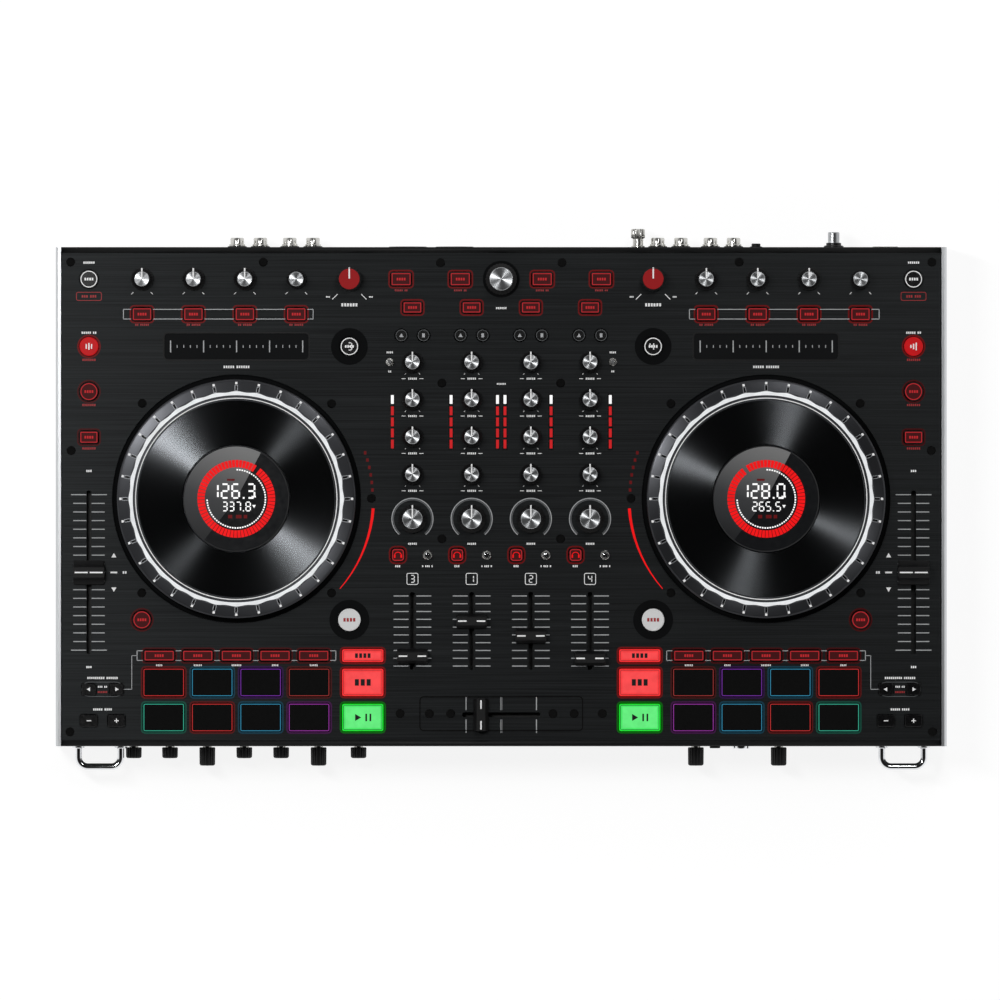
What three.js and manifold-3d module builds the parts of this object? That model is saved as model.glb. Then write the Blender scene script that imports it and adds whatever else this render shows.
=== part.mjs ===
// A four-channel DJ controller: two jog decks either side of a mixer, in a flat steel case.
// Millimetres, +X to the right deck, +Y to the jack side, +Z up. The origin is on the surface that
// the feet stand on, at the middle of everything that sticks out of the case.
import * as THREE from "three";
import { mergeVertices } from "three/addons/utils/BufferGeometryUtils.js";
import Module from "manifold-3d";

const wasm = await Module();
wasm.setup();

// ---- Case ----
const WIDTH = 572; // over the side panels
const DEPTH = 320.5; // front wall to rear wall
const BODY_HEIGHT = 50; // underside of the tray to the top of the panel
const SHEET = 1.5; // steel of the tray, the walls and the panel
const SIDE_THICKNESS = 3.3;
const SIDE_STANDS_PROUD = 1; // the side panels' edge above the top panel
const SIDE_CHAMFER = 1.5;
const SEAT_GAP = 0.3; // between parts that are fastened face to face
const CUTOUT_CLEARANCE = 0.4; // around whatever moves in a hole of the panel
const FOOT = { radius: 10, height: 6, inset: 30, sides: 16 };
const STANDOFF = { radius: 4, fromSide: 34, fromWall: 32, sides: 8 };

// ---- Boards ----
const BOARD = { thickness: 1.6, down: 14.4, wallGap: 5 }; // down is from the panel's top
const POT = { half: 5, down: 6 };
const TRACK = { width: 9, down: 4, endMargin: 8, grooveDepth: 5, grooveClearance: 1 };

// ---- Jog decks ----
const JOG_FROM_SIDE = 116;
const JOG_Y = -1.4; // from the middle of the case
const JOG = { radius: 76.7, height: 11, lift: 1, bevel: 2, sides: 32 };
const JOG_RIM_WIDTH = 12; // metal between the grip's edge and the vinyl plate
const JOG_FLOOR = 7; // the plate's seat, above the panel
const JOG_HUB = { radius: 22, depth: 6, panelClearance: 3, holeSides: 24 };
const PLATE = { thickness: 3, clearance: 0.6 };
const DISPLAY = { radius: 34, thickness: 3.2, postRadius: 10, clearance: 0.8 };

// ---- Knobs ----
const KNOB_LIFT = 0.8; // skirt above the panel
const SHAFT_RADIUS = 3;
const SHAFT_HOLE_CLEARANCE = 1.2;
const KNOB_SIDES = 8;
const SMALL_KNOB = { skirt: 7.2, cap: 5.6, flare: 4, height: 12.5 };
const FX_KNOB = { skirt: 7.7, cap: 5.7, flare: 4, height: 13 };
const FX_ENCODER = { skirt: 6.5, cap: 5.4, flare: 3, height: 13 };
const LEVEL_KNOB = { skirt: 7.8, cap: 6.6, flare: 3, height: 14 };
const FILTER_KNOB = { skirt: 10.2, cap: 7.2, flare: 4.5, height: 15 };
const BROWSE_KNOB = { skirt: 10.6, cap: 8, flare: 3.5, height: 15.5 };

// ---- Faders ----
const SLOT_WIDTH = 3;
const FADER_WAIST_SHARE = 0.6; // of the cap's height
const FADER_BASE_SHARE = 0.2;
const STEM = { width: 1.6, length: 4, reach: 7.5 }; // reach is below the panel's top
const CAP_LIFT = 1;
const CHANNEL_FADER = { travel: 45, across: 21, along: 10, waist: 5, top: 5.6, height: 8.5 };
const PITCH_FADER = { travel: 100, across: 20, along: 15.5, waist: 8, top: 7, height: 10 };
const CHANNEL_SET = [-16.1, 6.4, -3.1, -17.5]; // each cap from the middle of its travel, left to right
const CROSSFADER_SET = -13;

// ---- Places on the panel ----
// Rows are measured from the rear or the front edge, deck columns from the jog or the side edge.
const TOP_ROW = 20.6; // source buttons, effect knobs, level knobs, browse knob
const EFFECT_BUTTON_ROW = 43.1;
const LOAD_ROW = 38.8;
const ASSIGN_ROW = 56.7;
const DECK_BUTTON_ROW = 63.8;
const SKIP_ROW = 92.8;
const KEY_ROW = 122.1;
const GAIN_ROW = 73.9;
const EQ_PITCH = 24;
const FILTER_DROP = 28.6; // bass row to filter row
const CUE_ROW = 197.7;
const PITCH_ROW = 111.6; // from the front, as the rows below
const SHIFT_ROW = 81.2;
const CHANNEL_ROW = 74;
const MODE_ROW = 58.2;
const UPPER_PAD_ROW = 41;
const PARAMETER_ROW = 36.6;
const CROSSFADER_ROW = 20.2;
const LOWER_PAD_ROW = 18.5;
const BEND_ROW = 16.4;
const SIDE_COLUMN = 21.3; // from the side edge
const BEND_COLUMN = 39;
const DECK_COLUMN = -72.5; // from the jog's centre, outwards, as the columns below
const TRANSPORT_COLUMN = -81.1;
const CENSOR_COLUMN = 60.7;
const EFFECT_MIDDLE = 11.1;
const EFFECT_PITCH = 33;
const PAD_PITCH = 31.1;
const MODE_PITCH = 24.8;
const STRIP_PITCH = 38; // one mixer channel to the next
const ASSIGN_OFFSET = 7.1;
const NAV_OFFSET = 7.3;
const CUE_OFFSET = 9.3;

// ---- Buttons: silicone keymats under the panel, with caps that stand through it ----
const MAT = { thickness: 1.5, web: 6, underPanel: 3 };
const CUE_WEB_CLEARANCE = 1.7; // behind the channel faders' tracks
const BUTTON_PROUD = 1.6;
const PAD_PROUD = 2.2;
const ROUND_SIDES = 8;
const PAD_SIZE = [26.4, 18];
const SYNC_SIZE = [26.6, 8.3];
const TRANSPORT_SIZE = [26.6, 17.6];
const MODE_SIZE = [20, 7.4];
const EFFECT_SIZE = [13, 8.8];
const KEY_SIZE = [12.3, 8.3];
const NAV_SIZE = [13.5, 9];
const LOAD_SIZE = [12.6, 7.8];
const BEND_SIZE = [11, 7.8];
const PARAMETER_SIZE = [9, 7.4];
const ROUND_RADIUS = 6.1;
const SHIFT_RADIUS = 7.2;
const ASSIGN_RADIUS = 4;
const CUE_RADIUS = 4.4;

// ---- Jacks, through the rear and front walls ----
const JACK_SIDES = 8;
const WALL_CLEARANCE = 0.5;
const BARREL_ROOT = 2; // every barrel starts this far behind the wall, inside its body
const REAR_BOARD = { fromWall: 16, half: 11.5 };
const FRONT_BOARD = { fromWall: 13, half: 10 };
const RCA = { radius: 4.4, reach: 6.3, pair: 14.9, body: 6.4 };
const RCA_PAIRS = [-162.4, -128.6, 108.1, 142]; // middle of each pair
const GROUND_POST = { x: 88, stem: 3.4, nut: 4.5, reach: 12 };
const PHONO_SWITCH = { x: 163.9, radius: 2.9, reach: 2.6, body: 5 };
const XLR = { shell: 11, recess: 8.6, depth: 11, reach: 0.6, x: [-60, -30] };
const POWER = { x: 213.9, bezel: 4.8, bezelReach: 3, button: 3.7, reach: 10 };
const USB = { x: 247, half: [7.2, 7.5], port: [5.6, 5.6], depth: 10, reach: 0.6 };
const PHONES = { x: 154.3, nut: 5.6, bore: 3.3, depth: 14, reach: 2, body: 7 };
const MINI_JACK = { x: 137.5, nut: 3.4, reach: 1.6 };
const FRONT_KNOB = { radius: 5.1, shaft: 3, wallGap: 1, short: 8, long: 12.8 };
const SHORT_KNOBS = [-236.4, -213.1, -165.3, -141.6, -91.8];
const LONG_KNOBS = [-189.1, -117.5, 125.2, 178.5];
const HANDLE = { fromSide: 27.7, width: 31.6, rod: 2.25, reach: 15.7, bend: 6, height: 28 };
const HANDLE_FACETS = { sides: 8, steps: 18 };

// ---- Heights and places that follow ----
const TRAY_BOTTOM = FOOT.height;
const PANEL_TOP = TRAY_BOTTOM + BODY_HEIGHT;
const PANEL_BOTTOM = PANEL_TOP - SHEET;
const TRAY_FLOOR = TRAY_BOTTOM + SHEET;
const BOARD_TOP = PANEL_TOP - BOARD.down;
const BOARD_BOTTOM = BOARD_TOP - BOARD.thickness;
const POT_TOP = PANEL_TOP - POT.down;
const TRACK_TOP = PANEL_TOP - TRACK.down;
const JACK_HEIGHT = (TRAY_FLOOR + BOARD_BOTTOM) / 2;
const PANEL_HALF = WIDTH / 2 - SIDE_THICKNESS - SEAT_GAP;
const WALL_INSIDE = DEPTH / 2 - SHEET;
const DECK_X = WIDTH / 2 - JOG_FROM_SIDE;
const MAT_TOP = PANEL_BOTTOM - MAT.underPanel;
const MAT_BOTTOM = MAT_TOP - MAT.thickness;
const CHANNEL_COLUMNS = [-1.5, -0.5, 0.5, 1.5].map((i) => i * STRIP_PITCH);
const fromRear = (distance) => DEPTH / 2 - distance;
const fromFront = (distance) => distance - DEPTH / 2;
const fromSide = (distance) => WIDTH / 2 - distance;

// ---- Solids ----

/** A closed three.js geometry as a manifold solid. */
function solid(geometry) {
  const bare = geometry.clone();
  bare.deleteAttribute("normal");
  bare.deleteAttribute("uv");
  const merged = mergeVertices(bare, 1e-3);
  return new wasm.Manifold(
    new wasm.Mesh({
      numProp: 3,
      vertProperties: merged.attributes.position.array,
      triVerts: new Uint32Array(merged.index.array),
    }),
  );
}

/** A manifold solid as a three.js geometry. */
function geometryOf(body) {
  const mesh = body.getMesh();
  const geometry = new THREE.BufferGeometry();
  geometry.setAttribute("position", new THREE.BufferAttribute(mesh.vertProperties, 3));
  geometry.setIndex(new THREE.BufferAttribute(mesh.triVerts, 1));
  geometry.computeVertexNormals();
  return geometry;
}

const joined = (bodies) => bodies.reduce((whole, next) => whole.add(next));

/** A box between two corners. */
function block([x0, y0, z0], [x1, y1, z1]) {
  const box = new THREE.BoxGeometry(x1 - x0, y1 - y0, z1 - z0);
  return solid(box.translate((x0 + x1) / 2, (y0 + y1) / 2, (z0 + z1) / 2));
}

/** Points of a regular polygon around (x, y). */
function ring(x, y, radius, sides) {
  return Array.from({ length: sides }, (_, i) => {
    const angle = (2 * Math.PI * i) / sides;
    return new THREE.Vector2(x + radius * Math.cos(angle), y + radius * Math.sin(angle));
  });
}

/** Corners of a rectangle around (x, y). */
function rectangle(x, y, width, height) {
  const corners = [[-1, -1], [1, -1], [1, 1], [-1, 1]];
  return corners.map(([i, j]) => new THREE.Vector2(x + (i * width) / 2, y + (j * height) / 2));
}

/** An upright prism of an outline with holes, from z0 to z1. */
function prism(outline, z0, z1, holes = []) {
  const shape = new THREE.Shape(outline);
  const geometry = new THREE.ExtrudeGeometry(shape, { depth: z1 - z0, bevelEnabled: false });
  const body = solid(geometry.translate(0, 0, z0));
  if (!holes.length) return body;
  return body.subtract(joined(holes.map((hole) => prism(hole, z0 - 1, z1 + 1))));
}

/** A prism of an outline drawn in x and z, from y0 to y1. */
function standing(outline, y0, y1, holes = []) {
  return prism(outline, -y1, -y0, holes).rotate([90, 0, 0]);
}

/** A body turned about Z from [radius, height] pairs, listed upwards along its outside. */
function turned(profile, sides) {
  const points = profile.map(([radius, height]) => new THREE.Vector2(radius, height));
  return solid(new THREE.LatheGeometry(points, sides).rotateX(Math.PI / 2));
}

/** A turned body with its axis along Y, its heights running to the side given by direction. */
function turnedAlongY(profile, sides, x, y, z, direction) {
  const points = profile.map(([radius, height]) => new THREE.Vector2(radius, height));
  const geometry = new THREE.LatheGeometry(points, sides);
  if (direction < 0) geometry.rotateX(Math.PI);
  return solid(geometry.translate(x, y, z));
}

const controller = new THREE.Group();
// What sticks out of the front and the rear is unequal, so the case sits off the origin.
controller.position.y = (HANDLE.reach - GROUND_POST.reach) / 2;

const FINISHES = {
  blackMetal: { color: 0x1b1c1e, roughness: 0.5, metalness: 0.5 },
  brushedPanel: { color: 0x232527, roughness: 0.4, metalness: 0.8 },
  silver: { color: 0xd8dadc, roughness: 0.25, metalness: 1 },
  chrome: { color: 0xe6e6e8, roughness: 0.08, metalness: 1 },
  rubber: { color: 0x141414, roughness: 0.85, metalness: 0 },
  blackPlastic: { color: 0x101113, roughness: 0.45, metalness: 0 },
  redPlastic: { color: 0xb0161c, roughness: 0.45, metalness: 0 },
  screen: { color: 0x1c1d20, roughness: 0.15, metalness: 0 },
  board: { color: 0x14532f, roughness: 0.6, metalness: 0 },
};

/** Adds one named part, made of a manifold solid in its own frame, at a place on the case. */
function add(name, body, finish, x = 0, y = 0, z = 0) {
  const mesh = new THREE.Mesh(geometryOf(body), new THREE.MeshStandardMaterial(FINISHES[finish]));
  mesh.name = name;
  mesh.position.set(x, y, z);
  controller.add(mesh);
}

// ---- Controls: where each one is ----

const effectColumn = (i) => DECK_X + EFFECT_MIDDLE + (1.5 - i) * EFFECT_PITCH; // outermost first

/** Buttons of one deck: u runs from the case's middle to that deck's side. */
function deckButtons() {
  const side = fromSide(SIDE_COLUMN);
  const deck = DECK_X + DECK_COLUMN;
  const transport = DECK_X + TRANSPORT_COLUMN;
  const buttons = [
    { u: side, y: fromRear(TOP_ROW), radius: ROUND_RADIUS },
    { u: side, y: fromRear(DECK_BUTTON_ROW), radius: ROUND_RADIUS },
    { u: side, y: fromRear(SKIP_ROW), radius: ROUND_RADIUS },
    { u: side, y: fromRear(KEY_ROW), size: KEY_SIZE },
    { u: deck, y: fromRear(DECK_BUTTON_ROW), radius: ROUND_RADIUS },
    { u: deck, y: fromFront(SHIFT_ROW), radius: SHIFT_RADIUS },
    { u: DECK_X + CENSOR_COLUMN, y: fromFront(SHIFT_ROW), radius: ROUND_RADIUS },
    { u: transport, y: fromFront(MODE_ROW), size: SYNC_SIZE },
    { u: transport, y: fromFront(UPPER_PAD_ROW), size: TRANSPORT_SIZE },
    { u: transport, y: fromFront(LOWER_PAD_ROW), size: TRANSPORT_SIZE },
  ];
  for (let i = 0; i < 4; i++) {
    buttons.push({ u: effectColumn(i), y: fromRear(EFFECT_BUTTON_ROW), size: EFFECT_SIZE });
    for (const row of [UPPER_PAD_ROW, LOWER_PAD_ROW]) {
      const u = DECK_X + (i - 1.5) * PAD_PITCH;
      buttons.push({ u, y: fromFront(row), size: PAD_SIZE, proud: PAD_PROUD });
    }
  }
  for (let i = -2; i <= 2; i++) {
    buttons.push({ u: DECK_X + i * MODE_PITCH, y: fromFront(MODE_ROW), size: MODE_SIZE });
  }
  for (const column of [SIDE_COLUMN, BEND_COLUMN]) {
    buttons.push({ u: fromSide(column), y: fromFront(PARAMETER_ROW), size: PARAMETER_SIZE });
    buttons.push({ u: fromSide(column), y: fromFront(BEND_ROW), size: BEND_SIZE });
  }
  return buttons;
}

/** Webs of one deck's keymat, each from [u, y] to [u, y]. */
function deckWebs() {
  const side = fromSide(SIDE_COLUMN);
  const deck = DECK_X + DECK_COLUMN;
  const transport = DECK_X + TRANSPORT_COLUMN;
  const censor = DECK_X + CENSOR_COLUMN;
  const outerPad = DECK_X + 1.5 * PAD_PITCH;
  const webs = [
    [[side, fromRear(TOP_ROW)], [side, fromRear(KEY_ROW)]],
    [[deck, fromRear(EFFECT_BUTTON_ROW)], [side, fromRear(EFFECT_BUTTON_ROW)]],
    [[deck, fromRear(EFFECT_BUTTON_ROW)], [deck, fromFront(MODE_ROW)]],
    [[transport, fromFront(MODE_ROW)], [censor, fromFront(MODE_ROW)]],
    [[censor, fromFront(MODE_ROW)], [censor, fromFront(SHIFT_ROW)]],
    [[transport, fromFront(MODE_ROW)], [transport, fromFront(LOWER_PAD_ROW)]],
    [[outerPad, fromFront(PARAMETER_ROW)], [side, fromFront(PARAMETER_ROW)]],
  ];
  for (let i = 0; i < 4; i++) {
    const u = DECK_X + (i - 1.5) * PAD_PITCH;
    webs.push([[u, fromFront(MODE_ROW)], [u, fromFront(LOWER_PAD_ROW)]]);
  }
  for (const column of [SIDE_COLUMN, BEND_COLUMN]) {
    const u = fromSide(column);
    webs.push([[u, fromFront(PARAMETER_ROW)], [u, fromFront(BEND_ROW)]]);
  }
  return webs;
}

/** Buttons of the mixer. */
function mixerButtons() {
  const buttons = [];
  for (const x of CHANNEL_COLUMNS) {
    const away = Math.sign(x);
    buttons.push({ u: x + away * NAV_OFFSET, y: fromRear(TOP_ROW), size: NAV_SIZE });
    buttons.push({ u: x, y: fromRear(LOAD_ROW), size: LOAD_SIZE });
    buttons.push({ u: x - CUE_OFFSET, y: fromRear(CUE_ROW), radius: CUE_RADIUS });
    for (const offset of [-ASSIGN_OFFSET, ASSIGN_OFFSET]) {
      buttons.push({ u: x + offset, y: fromRear(ASSIGN_ROW), radius: ASSIGN_RADIUS });
    }
  }
  return buttons;
}

/** Webs of the mixer's keymat. */
function mixerWebs() {
  const [first, , , last] = CHANNEL_COLUMNS;
  const spine = -STRIP_PITCH;
  const trackEnd = CHANNEL_ROW + (CHANNEL_FADER.travel + STEM.length) / 2 + TRACK.endMargin;
  const cueWeb = fromFront(trackEnd + CUE_WEB_CLEARANCE + MAT.web / 2);
  const webs = [
    [[first - NAV_OFFSET, fromRear(LOAD_ROW)], [last + NAV_OFFSET, fromRear(LOAD_ROW)]],
    [[spine, fromRear(LOAD_ROW)], [spine, cueWeb]],
    [[first - CUE_OFFSET, cueWeb], [last - CUE_OFFSET, cueWeb]],
  ];
  for (const x of CHANNEL_COLUMNS) {
    const nav = x + Math.sign(x) * NAV_OFFSET;
    webs.push([[nav, fromRear(TOP_ROW)], [nav, fromRear(LOAD_ROW)]]);
    webs.push([[x, fromRear(LOAD_ROW)], [x, fromRear(ASSIGN_ROW)]]);
    webs.push([[x - ASSIGN_OFFSET, fromRear(ASSIGN_ROW)], [x + ASSIGN_OFFSET, fromRear(ASSIGN_ROW)]]);
    webs.push([[x - CUE_OFFSET, fromRear(CUE_ROW)], [x - CUE_OFFSET, cueWeb]]);
  }
  return webs;
}

/** Every knob on the panel: name, type and place. */
function knobs() {
  const placed = [{ name: "browse_knob", type: BROWSE_KNOB, x: 0, y: fromRear(TOP_ROW) }];
  const level = DECK_X + DECK_COLUMN;
  placed.push({ name: "booth_knob", type: LEVEL_KNOB, x: -level, y: fromRear(TOP_ROW), red: true });
  placed.push({ name: "master_knob", type: LEVEL_KNOB, x: level, y: fromRear(TOP_ROW), red: true });
  CHANNEL_COLUMNS.forEach((x, i) => {
    ["gain", "treble", "mid", "bass"].forEach((band, row) => {
      const y = fromRear(GAIN_ROW + row * EQ_PITCH);
      placed.push({ name: `${band}_knob_${i + 1}`, type: SMALL_KNOB, x, y });
    });
    const y = fromRear(GAIN_ROW + 3 * EQ_PITCH + FILTER_DROP);
    placed.push({ name: `filter_knob_${i + 1}`, type: FILTER_KNOB, x, y });
  });
  for (let i = 0; i < 4; i++) {
    const type = i < 3 ? FX_KNOB : FX_ENCODER;
    const y = fromRear(TOP_ROW);
    // Both decks run left to right, so the encoder is the right-hand knob of each.
    placed.push({ name: `left_effect_knob_${i + 1}`, type, x: -effectColumn(i), y });
    placed.push({ name: `right_effect_knob_${i + 1}`, type, x: effectColumn(3 - i), y });
  }
  return placed;
}

/** Every fader: name, type, middle of its travel, direction of travel and where its cap is set. */
function faders() {
  const placed = CHANNEL_COLUMNS.map((x, i) => ({
    name: `channel_fader_${i + 1}`,
    type: CHANNEL_FADER,
    x,
    y: fromFront(CHANNEL_ROW),
    set: CHANNEL_SET[i],
  }));
  const sideways = { x: 0, y: fromFront(CROSSFADER_ROW), sideways: true, set: CROSSFADER_SET };
  placed.push({ name: "crossfader", type: CHANNEL_FADER, ...sideways });
  for (const [side, sign] of [["left", -1], ["right", 1]]) {
    const place = { x: sign * fromSide(SIDE_COLUMN), y: fromFront(PITCH_ROW), set: 0 };
    placed.push({ name: `${side}_pitch_fader`, type: PITCH_FADER, ...place });
  }
  return placed;
}

/** Size in x and y of something across by along on a fader's axis. */
const onTrack = (fader, across, along) => (fader.sideways ? [along, across] : [across, along]);

// ---- Case parts ----

function topPanel() {
  const holes = [];
  const cut = (button, x) => {
    const grow = 2 * CUTOUT_CLEARANCE;
    if (button.radius) holes.push(ring(x, button.y, button.radius + grow / 2, ROUND_SIDES));
    else holes.push(rectangle(x, button.y, button.size[0] + grow, button.size[1] + grow));
  };
  for (const button of deckButtons()) {
    cut(button, -button.u);
    cut(button, button.u);
  }
  for (const button of mixerButtons()) cut(button, button.u);
  for (const knob of knobs()) {
    holes.push(ring(knob.x, knob.y, SHAFT_RADIUS + SHAFT_HOLE_CLEARANCE, KNOB_SIDES));
  }
  for (const fader of faders()) {
    const run = fader.type.travel + STEM.length + 2 * CUTOUT_CLEARANCE;
    holes.push(rectangle(fader.x, fader.y, ...onTrack(fader, SLOT_WIDTH, run)));
  }
  for (const x of [-DECK_X, DECK_X]) {
    holes.push(ring(x, JOG_Y, JOG_HUB.radius + JOG_HUB.panelClearance, JOG_HUB.holeSides));
  }
  return prism(rectangle(0, 0, 2 * PANEL_HALF, DEPTH), PANEL_BOTTOM, PANEL_TOP, holes);
}

/** Everything that passes through the rear wall: x and the radius or half sizes there. */
function rearPassages() {
  const passages = [
    { x: GROUND_POST.x, radius: GROUND_POST.stem },
    { x: PHONO_SWITCH.x, radius: PHONO_SWITCH.radius },
    { x: POWER.x, radius: POWER.bezel },
  ];
  for (const middle of RCA_PAIRS) {
    passages.push({ x: middle - RCA.pair / 2, radius: RCA.radius });
    passages.push({ x: middle + RCA.pair / 2, radius: RCA.radius });
  }
  for (const x of XLR.x) passages.push({ x, radius: XLR.shell });
  passages.push({ x: USB.x, half: USB.half });
  return passages;
}

function frontPassages() {
  const knobShafts = [...SHORT_KNOBS, ...LONG_KNOBS].map((x) => ({ x, radius: FRONT_KNOB.shaft }));
  const jacks = [{ x: PHONES.x, radius: PHONES.nut }, { x: MINI_JACK.x, radius: MINI_JACK.nut }];
  return [...knobShafts, ...jacks];
}

/** A wall across the case from y to a sheet further, with its passages cut out. */
function wall(y, passages) {
  const holes = passages.map(({ x, radius, half }) =>
    half
      ? rectangle(x, JACK_HEIGHT, 2 * (half[0] + WALL_CLEARANCE), 2 * (half[1] + WALL_CLEARANCE))
      : ring(x, JACK_HEIGHT, radius + WALL_CLEARANCE, JACK_SIDES),
  );
  const bottom = TRAY_FLOOR + SEAT_GAP;
  const top = PANEL_BOTTOM - SEAT_GAP;
  const outline = rectangle(0, (bottom + top) / 2, 2 * PANEL_HALF, top - bottom);
  return standing(outline, y, y + SHEET, holes);
}

function bottomTray() {
  return prism(rectangle(0, 0, 2 * PANEL_HALF, DEPTH), TRAY_BOTTOM, TRAY_FLOOR);
}

/** A side panel for the right-hand side: a plate with its outer top edge chamfered. */
function sidePanel() {
  const top = PANEL_TOP + SIDE_STANDS_PROUD;
  const inner = WIDTH / 2 - SIDE_THICKNESS;
  const outer = WIDTH / 2;
  const section = [
    [inner, TRAY_BOTTOM],
    [outer, TRAY_BOTTOM],
    [outer, top - SIDE_CHAMFER],
    [outer - SIDE_CHAMFER, top],
    [inner, top],
  ].map(([x, z]) => new THREE.Vector2(x, z));
  return standing(section, -DEPTH / 2, DEPTH / 2);
}

/** A bent rod that guards the front controls: two legs and a bar, with the corners rounded. */
function handle(middle) {
  const start = -DEPTH / 2 - SEAT_GAP;
  const half = HANDLE.width / 2 - HANDLE.rod;
  const end = -DEPTH / 2 - HANDLE.reach + HANDLE.rod;
  const path = new THREE.CurvePath();
  const at = (x, y) => new THREE.Vector3(x, y, HANDLE.height);
  const quarter = (x, y, from) => {
    const arc = [0, 0.25, 0.5, 0.75, 1].map((share) => {
      const angle = from + (share * Math.PI) / 2;
      return at(x + HANDLE.bend * Math.cos(angle), y + HANDLE.bend * Math.sin(angle));
    });
    for (let i = 1; i < arc.length; i++) path.add(new THREE.LineCurve3(arc[i - 1], arc[i]));
  };
  const bendX = half - HANDLE.bend;
  const bendY = end + HANDLE.bend;
  path.add(new THREE.LineCurve3(at(middle - half, start), at(middle - half, bendY)));
  quarter(middle - bendX, bendY, Math.PI);
  path.add(new THREE.LineCurve3(at(middle - bendX, end), at(middle + bendX, end)));
  quarter(middle + bendX, bendY, -Math.PI / 2);
  path.add(new THREE.LineCurve3(at(middle + half, bendY), at(middle + half, start)));
  const section = new THREE.Shape(ring(0, 0, HANDLE.rod, HANDLE_FACETS.sides));
  return solid(new THREE.ExtrudeGeometry(section, { steps: HANDLE_FACETS.steps, extrudePath: path }));
}

// ---- Boards and jacks ----

function mainBoard() {
  const width = 2 * (PANEL_HALF - BOARD.wallGap);
  const depth = 2 * (WALL_INSIDE - BOARD.wallGap);
  const pieces = [prism(rectangle(0, 0, width, depth), BOARD_BOTTOM, BOARD_TOP)];
  for (const x of [-fromSide(STANDOFF.fromSide), 0, fromSide(STANDOFF.fromSide)]) {
    for (const y of [-fromRear(STANDOFF.fromWall), fromRear(STANDOFF.fromWall)]) {
      const post = ring(x, y, STANDOFF.radius, STANDOFF.sides);
      pieces.push(prism(post, TRAY_FLOOR + SEAT_GAP, BOARD_TOP));
    }
  }
  for (const { x, y } of knobs()) {
    pieces.push(prism(rectangle(x, y, 2 * POT.half, 2 * POT.half), BOARD_BOTTOM, POT_TOP));
  }
  let board = joined(pieces);
  for (const fader of faders()) {
    const { travel } = fader.type;
    const run = travel + STEM.length;
    const outside = onTrack(fader, TRACK.width, run + 2 * TRACK.endMargin);
    board = board.add(prism(rectangle(fader.x, fader.y, ...outside), BOARD_BOTTOM, TRACK_TOP));
    const groove = onTrack(fader, STEM.width + 2 * TRACK.grooveClearance, run + 2);
    const grooveOutline = rectangle(fader.x, fader.y, ...groove);
    board = board.subtract(prism(grooveOutline, TRACK_TOP - TRACK.grooveDepth, TRACK_TOP + 1));
  }
  return board;
}

/** A round jack along Y: a body behind the wall and a barrel through it. */
function barrel(x, wallOutside, direction, body, profile, boardDistance) {
  const inside = wallOutside - direction * (SHEET + SEAT_GAP);
  const boardFace = wallOutside - direction * (SHEET + boardDistance);
  const [y0, y1] = [inside, boardFace].sort((a, b) => a - b);
  const back = block([x - body, y0, JACK_HEIGHT - body], [x + body, y1, JACK_HEIGHT + body]);
  return back.add(turnedAlongY(profile, JACK_SIDES, x, wallOutside, JACK_HEIGHT, direction));
}

/** A blind hole along Y from the outside of a wall. */
function bore(x, wallOutside, direction, radius, reach, depth) {
  const profile = [[0, -depth], [radius, -depth], [radius, reach + 1], [0, reach + 1]];
  return turnedAlongY(profile, JACK_SIDES, x, wallOutside, JACK_HEIGHT, direction);
}

function rearJackBoard() {
  const rear = DEPTH / 2;
  const distance = REAR_BOARD.fromWall;
  const boardFace = rear - SHEET - distance;
  const inner = -(SHEET + BARREL_ROOT);
  const left = RCA_PAIRS[0] - RCA.pair;
  const right = USB.x + USB.half[0];
  const boardBack = boardFace - BOARD.thickness;
  const [low, high] = [JACK_HEIGHT - REAR_BOARD.half, JACK_HEIGHT + REAR_BOARD.half];
  const pieces = [block([left, boardBack, low], [right, boardFace, high])];
  const stub = (radius, reach) => [[0, inner], [radius, inner], [radius, reach], [0, reach]];
  const fit = (x, body, profile) => pieces.push(barrel(x, rear, 1, body, profile, distance));
  for (const middle of RCA_PAIRS) {
    for (const x of [middle - RCA.pair / 2, middle + RCA.pair / 2]) {
      fit(x, RCA.body, stub(RCA.radius, RCA.reach));
    }
  }
  const { stem, nut, reach } = GROUND_POST;
  fit(GROUND_POST.x, RCA.body, [
    [0, inner],
    [stem, inner],
    [stem, reach / 2],
    [nut, reach / 2 + 1],
    [nut, reach],
    [0, reach],
  ]);
  fit(PHONO_SWITCH.x, PHONO_SWITCH.body, stub(PHONO_SWITCH.radius, PHONO_SWITCH.reach));
  fit(POWER.x, RCA.body, [
    [0, inner],
    [POWER.bezel, inner],
    [POWER.bezel, POWER.bezelReach],
    [POWER.button, POWER.bezelReach],
    [POWER.button, POWER.reach],
    [0, POWER.reach],
  ]);
  for (const x of XLR.x) fit(x, XLR.shell, stub(XLR.shell, XLR.reach));
  const socket = ([half, tall], y0, y1) =>
    block([USB.x - half, y0, JACK_HEIGHT - tall], [USB.x + half, y1, JACK_HEIGHT + tall]);
  pieces.push(socket(USB.half, boardFace, rear + USB.reach));
  const hollows = XLR.x.map((x) => bore(x, rear, 1, XLR.recess, XLR.reach, XLR.depth));
  hollows.push(socket(USB.port, rear - USB.depth, rear + USB.reach + 1));
  return joined(pieces).subtract(joined(hollows));
}

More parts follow.
